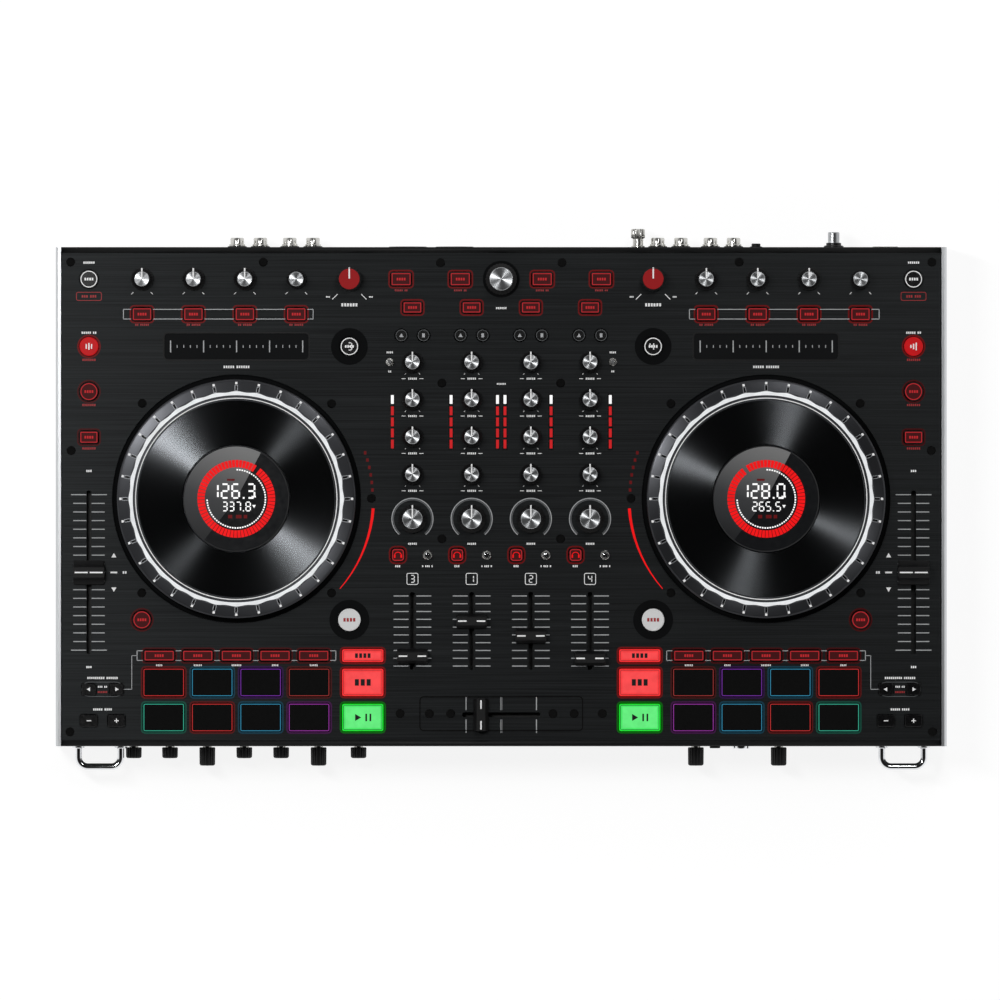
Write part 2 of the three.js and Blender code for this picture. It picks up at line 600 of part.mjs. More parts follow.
function frontControlBank() {
  const front = -DEPTH / 2;
  const distance = FRONT_BOARD.fromWall;
  const boardFace = front + SHEET + distance;
  const inner = -(SHEET + BARREL_ROOT);
  const all = [...SHORT_KNOBS, ...LONG_KNOBS, PHONES.x, MINI_JACK.x];
  const left = Math.min(...all) - 2 * POT.half;
  const right = Math.max(...all) + 2 * POT.half;
  const boardBack = boardFace + BOARD.thickness;
  const [low, high] = [JACK_HEIGHT - FRONT_BOARD.half, JACK_HEIGHT + FRONT_BOARD.half];
  const pieces = [block([left, boardFace, low], [right, boardBack, high])];
  const fit = (x, body, profile) => pieces.push(barrel(x, front, -1, body, profile, distance));
  const { radius, shaft, wallGap } = FRONT_KNOB;
  for (const [places, reach] of [[SHORT_KNOBS, FRONT_KNOB.short], [LONG_KNOBS, FRONT_KNOB.long]]) {
    const knob = [[0, inner], [shaft, inner], [shaft, wallGap], [radius, wallGap]];
    for (const x of places) fit(x, POT.half, [...knob, [radius, reach], [0, reach]]);
  }
  const nut = (size, reach) => [[0, inner], [size, inner], [size, reach], [0, reach]];
  fit(PHONES.x, PHONES.body, nut(PHONES.nut, PHONES.reach));
  fit(MINI_JACK.x, POT.half, nut(MINI_JACK.nut, MINI_JACK.reach));
  const phones = bore(PHONES.x, front, -1, PHONES.bore, PHONES.reach, PHONES.depth);
  return joined(pieces).subtract(phones);
}

// ---- Controls ----

/** A keymat: a sheet of webs under the panel, with a cap for each button. */
function keymat(buttons, webs, sign) {
  const pieces = webs.map(([from, to]) => {
    const xs = [sign * from[0], sign * to[0]].sort((a, b) => a - b);
    const ys = [from[1], to[1]].sort((a, b) => a - b);
    const half = MAT.web / 2;
    return block([xs[0] - half, ys[0] - half, MAT_BOTTOM], [xs[1] + half, ys[1] + half, MAT_TOP]);
  });
  for (const { u, y, radius, size, proud = BUTTON_PROUD } of buttons) {
    const x = sign * u;
    const outline = radius ? ring(x, y, radius, ROUND_SIDES) : rectangle(x, y, ...size);
    pieces.push(prism(outline, MAT_BOTTOM, PANEL_TOP + proud));
  }
  return joined(pieces);
}

/** A knob with its shaft, in a frame whose z = 0 is the panel's top. */
function knob({ skirt, cap, flare, height }) {
  const shaftEnd = SEAT_GAP - POT.down;
  const profile = [
    [0, shaftEnd],
    [SHAFT_RADIUS, shaftEnd],
    [SHAFT_RADIUS, KNOB_LIFT],
    [skirt, KNOB_LIFT],
    [cap, flare + KNOB_LIFT],
    [cap, height],
    [0, height],
  ];
  return turned(profile, KNOB_SIDES);
}

/** A fader's cap and stem, in a frame whose z = 0 is the panel's top. */
function fader({ type, sideways }) {
  const { across, along, waist, top, height } = type;
  const side = [
    [-along / 2, CAP_LIFT],
    [along / 2, CAP_LIFT],
    [along / 2, CAP_LIFT + height * FADER_BASE_SHARE],
    [waist / 2, height * FADER_WAIST_SHARE],
    [top / 2, height],
    [-top / 2, height],
    [-waist / 2, height * FADER_WAIST_SHARE],
    [-along / 2, CAP_LIFT + height * FADER_BASE_SHARE],
  ].map(([position, z]) => new THREE.Vector2(position, z));
  const stemLow = [-STEM.length / 2, -STEM.width / 2, -STEM.reach];
  const stem = block(stemLow, [STEM.length / 2, STEM.width / 2, CAP_LIFT + 1]);
  const whole = standing(side, -across / 2, across / 2).add(stem);
  return sideways ? whole : whole.rotate([0, 0, 90]);
}

/** The jog wheel: a hub, a raised rim with a bevelled edge, and the vinyl plate inside it. */
function jogWheel() {
  const { radius, height, lift, bevel } = JOG;
  const seat = radius - JOG_RIM_WIDTH;
  const boreRadius = DISPLAY.postRadius + DISPLAY.clearance;
  const plateTop = JOG_FLOOR + PLATE.thickness;
  const plateInside = DISPLAY.radius + PLATE.clearance;
  const profile = [
    [boreRadius, -JOG_HUB.depth],
    [JOG_HUB.radius, -JOG_HUB.depth],
    [JOG_HUB.radius, lift],
    [radius, lift],
    [radius, height - bevel],
    [radius - bevel, height],
    [seat, height],
    [seat, JOG_FLOOR],
    [seat - PLATE.clearance, JOG_FLOOR],
    [seat - PLATE.clearance, plateTop],
    [plateInside, plateTop],
    [plateInside, JOG_FLOOR],
    [boreRadius, JOG_FLOOR],
    [boreRadius, -JOG_HUB.depth],
  ];
  return turned(profile, JOG.sides);
}

/** The display in the middle of the jog wheel, held still by a post from the board. */
function jogDisplay() {
  const { radius, thickness, postRadius, clearance } = DISPLAY;
  const postEnd = SEAT_GAP - BOARD.down;
  const bottom = JOG_FLOOR + clearance;
  const profile = [
    [0, postEnd],
    [postRadius, postEnd],
    [postRadius, bottom],
    [radius, bottom],
    [radius, bottom + thickness],
    [0, bottom + thickness],
  ];
  return turned(profile, JOG.sides);
}

// ---- Assembly ----

add("bottom_tray", bottomTray(), "blackMetal");
add("front_wall", wall(-DEPTH / 2, frontPassages()), "blackMetal");
add("rear_wall", wall(WALL_INSIDE, rearPassages()), "blackMetal");
add("top_panel", topPanel(), "brushedPanel");
add("right_side_panel", sidePanel(), "silver");
add("left_side_panel", sidePanel().rotate([0, 0, 180]), "silver");
add("left_front_handle", handle(-fromSide(HANDLE.fromSide)), "chrome");
add("right_front_handle", handle(fromSide(HANDLE.fromSide)), "chrome");
add("main_circuit_board", mainBoard(), "board");
add("rear_jack_board", rearJackBoard(), "blackPlastic");
add("front_control_bank", frontControlBank(), "blackPlastic");

for (const [end, y] of [["front", -fromRear(FOOT.inset)], ["rear", fromRear(FOOT.inset)]]) {
  for (const [side, x] of [["left", -fromSide(FOOT.inset)], ["right", fromSide(FOOT.inset)]]) {
    const foot = prism(ring(0, 0, FOOT.radius, FOOT.sides), 0, FOOT.height - SEAT_GAP);
    add(`${end}_${side}_foot`, foot, "rubber", x, y);
  }
}

for (const [side, sign] of [["left", -1], ["right", 1]]) {
  const x = sign * DECK_X;
  add(`${side}_jog_wheel`, jogWheel(), "silver", x, JOG_Y, PANEL_TOP);
  add(`${side}_jog_display`, jogDisplay(), "screen", x, JOG_Y, PANEL_TOP);
  add(`${side}_deck_keymat`, keymat(deckButtons(), deckWebs(), sign), "rubber");
}
add("mixer_keymat", keymat(mixerButtons(), mixerWebs(), 1), "rubber");

for (const { name, type, x, y, red } of knobs()) {
  add(name, knob(type), red ? "redPlastic" : "blackPlastic", x, y, PANEL_TOP);
}

for (const item of faders()) {
  const [dx, dy] = item.sideways ? [item.set, 0] : [0, item.set];
  add(item.name, fader(item), "blackPlastic", item.x + dx, item.y + dy, PANEL_TOP);
}

export default controller;
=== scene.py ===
"""Looks of a four-channel DJ controller: two lit jog decks either side of a mixer.

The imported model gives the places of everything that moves. Sizes here are in millimetres on the
panel: x to the right, y to the rear, from the middle of the top panel, and z up from its surface.
"""
import logging
import math
from collections.abc import Iterable, Sequence
from dataclasses import dataclass, field, replace
from enum import Enum, auto

import bmesh
import bpy
from mathutils import Matrix, Vector


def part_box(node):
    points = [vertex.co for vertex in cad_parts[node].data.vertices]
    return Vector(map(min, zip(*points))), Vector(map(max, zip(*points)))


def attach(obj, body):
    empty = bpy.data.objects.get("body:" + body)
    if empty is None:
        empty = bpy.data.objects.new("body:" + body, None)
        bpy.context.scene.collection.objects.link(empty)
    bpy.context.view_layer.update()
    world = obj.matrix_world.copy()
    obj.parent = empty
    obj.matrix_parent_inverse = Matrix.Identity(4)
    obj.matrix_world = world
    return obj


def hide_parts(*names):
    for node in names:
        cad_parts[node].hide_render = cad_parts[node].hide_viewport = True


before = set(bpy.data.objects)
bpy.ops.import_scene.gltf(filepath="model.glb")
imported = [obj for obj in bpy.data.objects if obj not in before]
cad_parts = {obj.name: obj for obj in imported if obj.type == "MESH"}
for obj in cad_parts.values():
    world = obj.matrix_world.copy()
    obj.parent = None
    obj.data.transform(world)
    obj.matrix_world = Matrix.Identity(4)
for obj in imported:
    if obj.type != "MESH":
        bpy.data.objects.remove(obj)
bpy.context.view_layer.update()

LOG = logging.getLogger("dj_controller")
MM = 0.001
PANEL_LOW, PANEL_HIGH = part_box("top_panel")
PANEL_MIDDLE = (PANEL_LOW + PANEL_HIGH) / 2
PANEL_ORIGIN = Vector((PANEL_MIDDLE.x, PANEL_MIDDLE.y, PANEL_HIGH.z))
PANEL_WIDTH = (PANEL_HIGH.x - PANEL_LOW.x) / MM
PANEL_DEPTH = (PANEL_HIGH.y - PANEL_LOW.y) / MM
INK_THICKNESS = 0.05  # printed marks
THICK_INK = 0.06  # printed marks that lie over others
UV_SPAN = 200.0  # across the whole UV square of a piece
TURN = 2 * math.pi
QUARTER = math.pi / 2
UP = Vector((0, 0, 1))

Point = tuple[float, float]
Place = tuple[float, float, float]
Ring = list[Place]
Tree = bpy.types.NodeTree
Node = bpy.types.Node
Socket = bpy.types.NodeSocket
Piece = bpy.types.Object


def to_world(x: float, y: float, z: float) -> Vector:
    """A place on the panel, in millimetres, as a place in the frame, in metres."""
    return PANEL_ORIGIN + Vector((x, y, z)) * MM


def box_of(node: str) -> tuple[Vector, Vector]:
    """The low and high corners of a CAD node, in panel millimetres."""
    low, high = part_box(node)
    return (low - PANEL_ORIGIN) / MM, (high - PANEL_ORIGIN) / MM


def middle_of(node: str) -> Point:
    """The middle of a CAD node, in panel millimetres."""
    low, high = box_of(node)
    return (low.x + high.x) / 2, (low.y + high.y) / 2


def polar(middle: Sequence[float], radius: float, angle: float) -> Point:
    """The point at a radius and an angle, in radians, from a middle."""
    return middle[0] + radius * math.cos(angle), middle[1] + radius * math.sin(angle)


def linear(colour: str) -> tuple[float, float, float, float]:
    """An sRGB hex colour, such as #1d1f20, as linear RGBA.

    Args:
        colour: The colour.

    Returns:
        The four values.
    """
    parts = [int(colour[i : i + 2], 16) / 255 for i in (1, 3, 5)]
    light = [c / 12.92 if c <= 0.04045 else ((c + 0.055) / 1.055) ** 2.4 for c in parts]
    return (light[0], light[1], light[2], 1.0)


# ---- Nodes ----


def add_node(tree: Tree, kind: str, links: dict | None = None, **settings) -> Node:
    """Adds one node.

    Args:
        tree: The node tree that it goes in.
        kind: The node's type name.
        links: For each input, by name or index, either a value or an output socket to link.
        settings: Properties of the node.

    Returns:
        The new node.
    """
    node = tree.nodes.new(kind)
    for name, value in settings.items():
        setattr(node, name, value)
    for name, value in (links or {}).items():
        if isinstance(value, Socket):
            tree.links.new(value, node.inputs[name])
        else:
            node.inputs[name].default_value = value
    return node


def noise_on_object(tree: Tree, size_mm: Sequence[float], detail: float) -> Socket:
    """Noise fixed to the object.

    Args:
        tree: The node tree that it goes in.
        size_mm: The size of its features along x, y and z, in millimetres.
        detail: Its number of finer layers.

    Returns:
        The noise's value.
    """
    place = add_node(tree, "ShaderNodeTexCoord").outputs["Object"]
    scale = [1 / (size * MM) for size in size_mm]
    scaled = add_node(tree, "ShaderNodeMapping", {"Vector": place, "Scale": scale}).outputs[0]
    return add_node(
        tree, "ShaderNodeTexNoise", {"Vector": scaled, "Scale": 1.0, "Detail": detail}
    ).outputs[0]


def ramp(tree: Tree, factor: Socket, stops: Sequence[tuple[float, str]]) -> Socket:
    """A colour ramp.

    Args:
        tree: The node tree that it goes in.
        factor: What picks the colour.
        stops: The factor and the sRGB hex colour of each stop.

    Returns:
        The colour.
    """
    made = add_node(tree, "ShaderNodeValToRGB", {"Fac": factor})
    points = made.color_ramp.elements
    while len(points) < len(stops):
        points.new(0.5)
    for point, (at, colour) in zip(points, stops):
        point.position = at
        point.color = linear(colour)
    return made.outputs["Color"]


def spread(tree: Tree, factor: Socket, low: float, high: float) -> Socket:
    """The factor's range of 0 to 1, mapped onto low to high."""
    return add_node(
        tree, "ShaderNodeMapRange", {"Value": factor, "To Min": low, "To Max": high}
    ).outputs[0]


def draw_out_highlights(tree: Tree, shader: Node, amount: float, **tangent: str) -> None:
    """Stretches highlights across the fine lines of a brushed or turned metal.

    Args:
        tree: The material's node tree.
        shader: Its surface shader.
        amount: How far they stretch, up to 1.
        tangent: Settings of the tangent node, which says where the lines run.
    """
    shader.inputs["Anisotropic"].default_value = amount
    shader.inputs["Anisotropic Rotation"].default_value = 0.25  # a quarter turn from the lines
    made = add_node(tree, "ShaderNodeTangent", **tangent)
    tree.links.new(made.outputs[0], shader.inputs["Tangent"])


# ---- Finishes ----


@dataclass(frozen=True)
class Grain:
    """Fine structure that breaks up a finish's gloss."""

    size: Place  # of its features along x, y and z, in millimetres
    detail: float
    smoother: float  # how far it takes from the roughness, and adds to it
    rougher: float
    depth: float = 0.0  # of its bump, in millimetres


@dataclass(frozen=True)
class Finish:
    """A material with a plain colour, which the finishes below build on."""

    name: str
    colour: str
    roughness: float = 0.5

    # Not fields, so that a finish below can set them or make a field of them.
    metallic = 0.0
    gloss = 0.5
    grain = None

    def dress(self, tree: Tree, shader: Node) -> None:
        """Adds the grain to the roughness, and as a bump where it has a depth.

        Args:
            tree: The material's node tree.
            shader: Its surface shader.
        """
        if not self.grain:
            return
        noise = noise_on_object(tree, self.grain.size, self.grain.detail)
        low, high = self.roughness - self.grain.smoother, self.roughness + self.grain.rougher
        tree.links.new(spread(tree, noise, low, high), shader.inputs["Roughness"])
        if self.grain.depth:
            links = {"Height": noise, "Strength": 0.6, "Distance": self.grain.depth * MM}
            bump = add_node(tree, "ShaderNodeBump", links)
            tree.links.new(bump.outputs[0], shader.inputs["Normal"])

    def material(self) -> bpy.types.Material:
        """The material of this finish, made the first time that it is asked for.

        Returns:
            The material, with its nodes.
        """
        known = bpy.data.materials.get(self.name)
        if known:
            return known
        made = bpy.data.materials.new(self.name)
        made.use_nodes = True
        made.diffuse_color = linear(self.colour)
        shader = made.node_tree.nodes["Principled BSDF"]
        shader.inputs["Base Color"].default_value = linear(self.colour)
        shader.inputs["Roughness"].default_value = self.roughness
        shader.inputs["Metallic"].default_value = self.metallic
        shader.inputs["Specular IOR Level"].default_value = self.gloss
        self.dress(made.node_tree, shader)
        return made


@dataclass(frozen=True)
class MouldedPlastic(Finish):
    """Injection-moulded ABS: a fine spark-eroded grain breaks up its gloss."""

    grain_mm: float = 0.5
    gloss: float = 0.25

    @property
    def grain(self) -> Grain:
        """The spark-eroded grain, of this plastic's own size."""
        return Grain((self.grain_mm,) * 3, 3.0, 0.08, 0.1, 0.02)


@dataclass(frozen=True)
class BrushedSteel(Finish):
    """Steel sheet brushed along x and lacquered black: long fine lines, lighter across them."""

    metallic = 0.85
    grain = Grain((90, 0.6, 0.6), 4.0, 0.06, 0.08)  # real lines are near 0.2 mm, too fine to show

    def dress(self, tree: Tree, shader: Node) -> None:
        """Adds the lines to the colour too, and a highlight stretched across them.

        Args:
            tree: The material's node tree.
            shader: Its surface shader.
        """
        super().dress(tree, shader)
        lines = noise_on_object(tree, self.grain.size, self.grain.detail)
        stops = [(0.3, "#191a1b"), (0.5, self.colour), (0.72, "#292b2c")]
        tree.links.new(ramp(tree, lines, stops), shader.inputs["Base Color"])
        draw_out_highlights(tree, shader, 0.6, direction_type="UV_MAP", uv_map="local")


@dataclass(frozen=True)
class PowderCoat(Finish):
    """Powder-coated steel: an orange-peel skin, seen as broken highlights."""

    gloss = 0.2
    grain = Grain((1.1, 1.1, 1.1), 2.0, 0.06, 0.06, 0.06)


@dataclass(frozen=True)
class SatinAluminium(Finish):
    """Extruded aluminium, drawn along y and anodised: silver with faint lines along it."""

    metallic = 1.0
    grain = Grain((0.7, 60, 0.7), 3.0, 0.08, 0.1)


@dataclass(frozen=True)
class SpunMetal(Finish):
    """Aluminium turned on a lathe: rings round its middle stretch each highlight to a fan."""

    ring_mm: float = 0.5
    anisotropy: float = 0.8
    metallic = 1.0

    def dress(self, tree: Tree, shader: Node) -> None:
        """Adds rings from the piece's UV map, which is centred on the piece, and a turned tangent.

        Args:
            tree: The material's node tree.
            shader: Its surface shader.
        """
        place = add_node(tree, "ShaderNodeUVMap", uv_map="local").outputs[0]
        middle = {0: place, 1: (0.5, 0.5, 0)}
        centred = add_node(tree, "ShaderNodeVectorMath", middle, operation="SUBTRACT").outputs[0]
        radius = add_node(
            tree, "ShaderNodeVectorMath", {0: centred}, operation="LENGTH"
        ).outputs["Value"]
        links = {"W": radius, "Scale": UV_SPAN / self.ring_mm, "Detail": 2.0}
        rings = add_node(tree, "ShaderNodeTexNoise", links, noise_dimensions="1D").outputs[0]
        rough = spread(tree, rings, self.roughness * 0.95, self.roughness * 1.05)
        tree.links.new(rough, shader.inputs["Roughness"])
        draw_out_highlights(tree, shader, self.anisotropy, direction_type="RADIAL", axis="Z")


@dataclass(frozen=True)
class GroovedVinyl(SpunMetal):
    """A glossy black plate with record grooves: black, with fans of light across the grooves."""


@dataclass(frozen=True)
class TintedWindow(Finish):
    """A smoked window with a painted reflection: paler towards the top and nearly black at the
    lower left.
    """

    gloss = 0.3

    def dress(self, tree: Tree, shader: Node) -> None:
        """Adds a slope of tone over the piece's UV map, as a painted reflection.

        Args:
            tree: The material's node tree.
            shader: Its surface shader.
        """
        place = add_node(tree, "ShaderNodeUVMap", uv_map="local").outputs[0]
        uphill = {0: place, 1: (0.35, 0.94, 0)}
        slope = add_node(
            tree, "ShaderNodeVectorMath", uphill, operation="DOT_PRODUCT"
        ).outputs["Value"]
        # Painted reflection: nearly black at the lower left, paler towards the top.
        stops = [(0.5, "#1c1d1f"), (0.62, "#3a3b3d"), (0.8, self.colour)]
        tree.links.new(ramp(tree, slope, stops), shader.inputs["Base Color"])


@dataclass(frozen=True)
class Chrome(Finish):
    """Polished chrome plate: a mirror, a little hazy from handling."""

    metallic = 1.0
    grain = Grain((12, 12, 12), 3.0, 0.0, 0.08)


@dataclass(frozen=True)
class Silicone(Finish):
    """Moulded silicone rubber: soft, nearly without gloss, with a dusty grain."""

    gloss = 0.15
    grain = Grain((1.4, 1.4, 1.4), 4.0, 0.08, 0.08, 0.03)


@dataclass(frozen=True)
class Ink(Finish):
    """Screen-printed ink: flat, with slightly uneven cover."""

    grain = Grain((1.5, 1.5, 1.5), 3.0, 0.1, 0.1)


@dataclass(frozen=True)
class LitDiffuser(Finish):
    """Tinted translucent plastic lit from behind, mottled a little as a light guide is; on the jog
    lip it is a painted highlight.
    """

    strength: float = 1.0
    gloss = 0.15

    def dress(self, tree: Tree, shader: Node) -> None:
        """Adds the glow, over a darker plastic.

        Args:
            tree: The material's node tree.
            shader: Its surface shader.
        """
        mottle = noise_on_object(tree, (5, 5, 5), 2.0)
        glow = spread(tree, mottle, self.strength * 0.8, self.strength * 1.2)
        tree.links.new(glow, shader.inputs["Emission Strength"])
        shader.inputs["Emission Color"].default_value = linear(self.colour)
        shader.inputs["Base Color"].default_value = [
            part * 0.12 for part in linear(self.colour)[:3]
        ] + [1.0]


@dataclass(frozen=True)
class LightTable(Finish):
    """A pale floor that glows a little, so that shadows on it stay faint."""

    gloss = 0.0

    def dress(self, tree: Tree, shader: Node) -> None:
        """Adds an even glow, over a grey surface.

        Args:
            tree: The material's node tree.
            shader: Its surface shader.
        """
        shader.inputs["Emission Color"].default_value = linear(self.colour)
        shader.inputs["Emission Strength"].default_value = 0.95
        shader.inputs["Base Color"].default_value = linear("#8c8c8c")


@dataclass(frozen=True)
class CircuitBoard(Finish):
    """Glass-epoxy board under black solder mask: glossy, with the copper tracks a little paler."""

    def dress(self, tree: Tree, shader: Node) -> None:
        """Adds the tracks, as streaks along x.

        Args:
            tree: The material's node tree.
            shader: Its surface shader.
        """
        tracks = noise_on_object(tree, (18, 2, 2), 1.0)
        stops = [(0.48, self.colour), (0.54, "#151716")]
        tree.links.new(ramp(tree, tracks, stops), shader.inputs["Base Color"])


PANEL_STEEL = BrushedSteel("black brushed steel", "#212324", 0.4)
# The panel's bent edges, darker than its top: painted shade.
FOLD_PAINTED_SHADE = PowderCoat("folded panel edge", "#08090a", 0.5)
CASE_COAT = PowderCoat("black powder coat", "#131415", 0.5)
ALUMINIUM = SatinAluminium("satin anodised aluminium", "#c9cbcd", 0.32)
SLOT_EDGE = SatinAluminium("bare edge of a slot", "#8d8f92", 0.4)
CHROME = Chrome("polished chrome", "#e9eaec", 0.05)
NICKEL = Chrome("nickel plate", "#c9c8c4", 0.18)
GOLD_CONTACT = Chrome("gilt contact", "#c9a24a", 0.2)
CAP_METAL = SpunMetal("turned aluminium cap", "#b4b6b8", 0.28, 0.5, 0.9)
RING_METAL = SpunMetal("turned jog ring", "#48494c", 0.34, 0.7, 0.8)
VINYL = GroovedVinyl("grooved black plate", "#484a4c", 0.2, 1.5, 1.0)
DISPLAY_GLASS = MouldedPlastic("smoked display window", "#151618", 0.2, 3.0)
# A painted reflection over the display window.
WINDOW_PAINTED_REFLECTION = TintedWindow("pale part of the window", "#7c7c7c", 0.3)
BLACK_ABS = MouldedPlastic("black moulded ABS", "#070708", 0.5)
BLACK_GLOSS = MouldedPlastic("black gloss ABS", "#060607", 0.25, 2.0)
STRIP_BLACK = MouldedPlastic("touch strip film", "#141516", 0.65, 0.5, 0.05)
# Near black; round each jog platter it is painted shade in the gap.
BLACK_RECESS_AND_SHADE = MouldedPlastic("black recess", "#0c0d0e", 0.7, 0.5, 0.05)
RED_ABS = MouldedPlastic("red moulded ABS", "#9c1216", 0.5, 0.5, 0.15)
WHITE_CAP = MouldedPlastic("white moulded cap", "#e2e2e2", 0.5, 0.5, 0.1)
PAD_SILICONE = Silicone("black pad silicone", "#020202", 0.85)
MAT_SILICONE = Silicone("grey keymat silicone", "#3a3b3c", 0.65)
FOOT_RUBBER = Silicone("black foot rubber", "#121212", 0.75)
SCREW_BLACK = Silicone("blackened screw", "#030303", 0.85)
WHITE_INK = Ink("white ink", "#fafafa", 0.5)
GREY_INK = Ink("grey ink", "#b0b2b4", 0.5)
MARK_GREY = Ink("dim grey ink", "#55585a", 0.5)
RED_INK = Ink("red ink", "#a01218", 0.5)
BOARD_BLACK = CircuitBoard("black solder mask", "#080909", 0.5)
# Not lit: the jog's silver lip glows white as a painted highlight.
LIP_PAINTED_HIGHLIGHT = LitDiffuser("white jog lip", "#eceef0", 0.35, 0.85)
DARK_RED = LitDiffuser("dark red diffuser", "#48060a", 0.5, 0.6)
ROUND_RED = LitDiffuser("red lit round cap", "#b80c12", 0.4, 0.9)
FRAME_RED = LitDiffuser("red lit frame", "#c4262c", 0.5, 0.75)
LIT_RED = LitDiffuser("red lit cap", "#f52a2c", 0.35, 0.9)
LIT_GREEN = LitDiffuser("green lit cap", "#02e81c", 0.35, 0.8)
CORE_REDS = tuple(
    LitDiffuser(f"core of a red lit cap {i}", colour, 0.35, 0.9)
    for i, colour in enumerate(("#f73436", "#f84042", "#fa4c4e"))
)
CORE_GREENS = tuple(
    LitDiffuser(f"core of a green lit cap {i}", colour, 0.35, 0.9)
    for i, colour in enumerate(("#2ee652", "#4aea68", "#66ee80"))
)
GLOW_RED = LitDiffuser("red glow", "#ee0a0e", 0.4, 0.9)
METER_RED = LitDiffuser("meter red", "#d81c20", 0.4, 0.75)
GLOW_DIM_RED = LitDiffuser("dim red glow", "#9a0a10", 0.4, 0.6)
DEEP_RED = LitDiffuser("deep red glow", "#6a060a", 0.4, 0.7)
GLOW_WHITE = LitDiffuser("white glow", "#ffffff", 0.4, 1.0)


class PadColour(Enum):
    """Colours that the pads' edges light up in."""

    RED = LitDiffuser("pad edge red", "#cc3030", 0.4, 0.75)
    DARK_RED = LitDiffuser("pad edge dark red", "#a03432", 0.4, 0.75)
    BLUE = LitDiffuser("pad edge blue", "#3490b4", 0.4, 0.75)
    VIOLET = LitDiffuser("pad edge violet", "#762fa4", 0.4, 0.8)
    MAGENTA = LitDiffuser("pad edge magenta", "#9c36a6", 0.4, 0.75)
    TEAL = LitDiffuser("pad edge teal", "#38b496", 0.4, 0.75)


# ---- Meshes ----


@dataclass(frozen=True)
class Outline:
    """A closed outline: a rectangle with round corners, or a circle, fluted or plain."""

    x: float
    y: float
    width: float
    height: float
    corner: float = 0.0
    fineness: int = 3  # steps round each quarter
    flutes: int = 0
    flute_depth: float = 0.0

    @staticmethod
    def circle(
        x: float, y: float, radius: float, sides: int = 32, flutes: int = 0, depth: float = 0.0
    ) -> "Outline":
        """A circle, with flutes of that depth cut into it where a number of them is given."""
        return Outline(x, y, 2 * radius, 2 * radius, radius, sides // 4, flutes, depth)

    @property
    def is_round(self) -> bool:
        """True for a circle."""
        return self.width == self.height == 2 * self.corner

    def inner(self, inset: float) -> "Outline":
        """The same outline, moved inwards.

        Args:
            inset: How far; outwards where it is negative.

        Returns:
            A circle for a circle, and otherwise a rectangle with round corners.
        """
        if self.is_round:
            return Outline.circle(self.x, self.y, self.corner - inset)
        corner = max(self.corner - inset, 0.4)
        return Outline(self.x, self.y, self.width - 2 * inset, self.height - 2 * inset, corner)

    def ring(self, inset: float, z: float) -> Ring:
        """The outline's points.

        Args:
            inset: How far inwards they are moved.
            z: Their height.

        Returns:
            The points, anticlockwise.
        """
        if self.is_round:
            count, radius = self.fineness * 4, self.corner - inset
            angles = [TURN * i / count for i in range(count)]
            middle, depth = (self.x, self.y), self.flute_depth / 2
            cuts = [depth * (1 - math.cos(self.flutes * angle)) for angle in angles]
            return [(*polar(middle, radius - cut, at), z) for at, cut in zip(angles, cuts)]
        radius = max(self.corner - inset, 0.02)
        across = self.width / 2 - inset - radius
        along = self.height / 2 - inset - radius
        points = []
        for quarter, (i, j) in enumerate(((1, 1), (-1, 1), (-1, -1), (1, -1))):
            for step in range(self.fineness + 1):
                angle = (quarter + step / self.fineness) * QUARTER
                points.append((*polar((self.x + i * across, self.y + j * along), radius, angle), z))
        return points


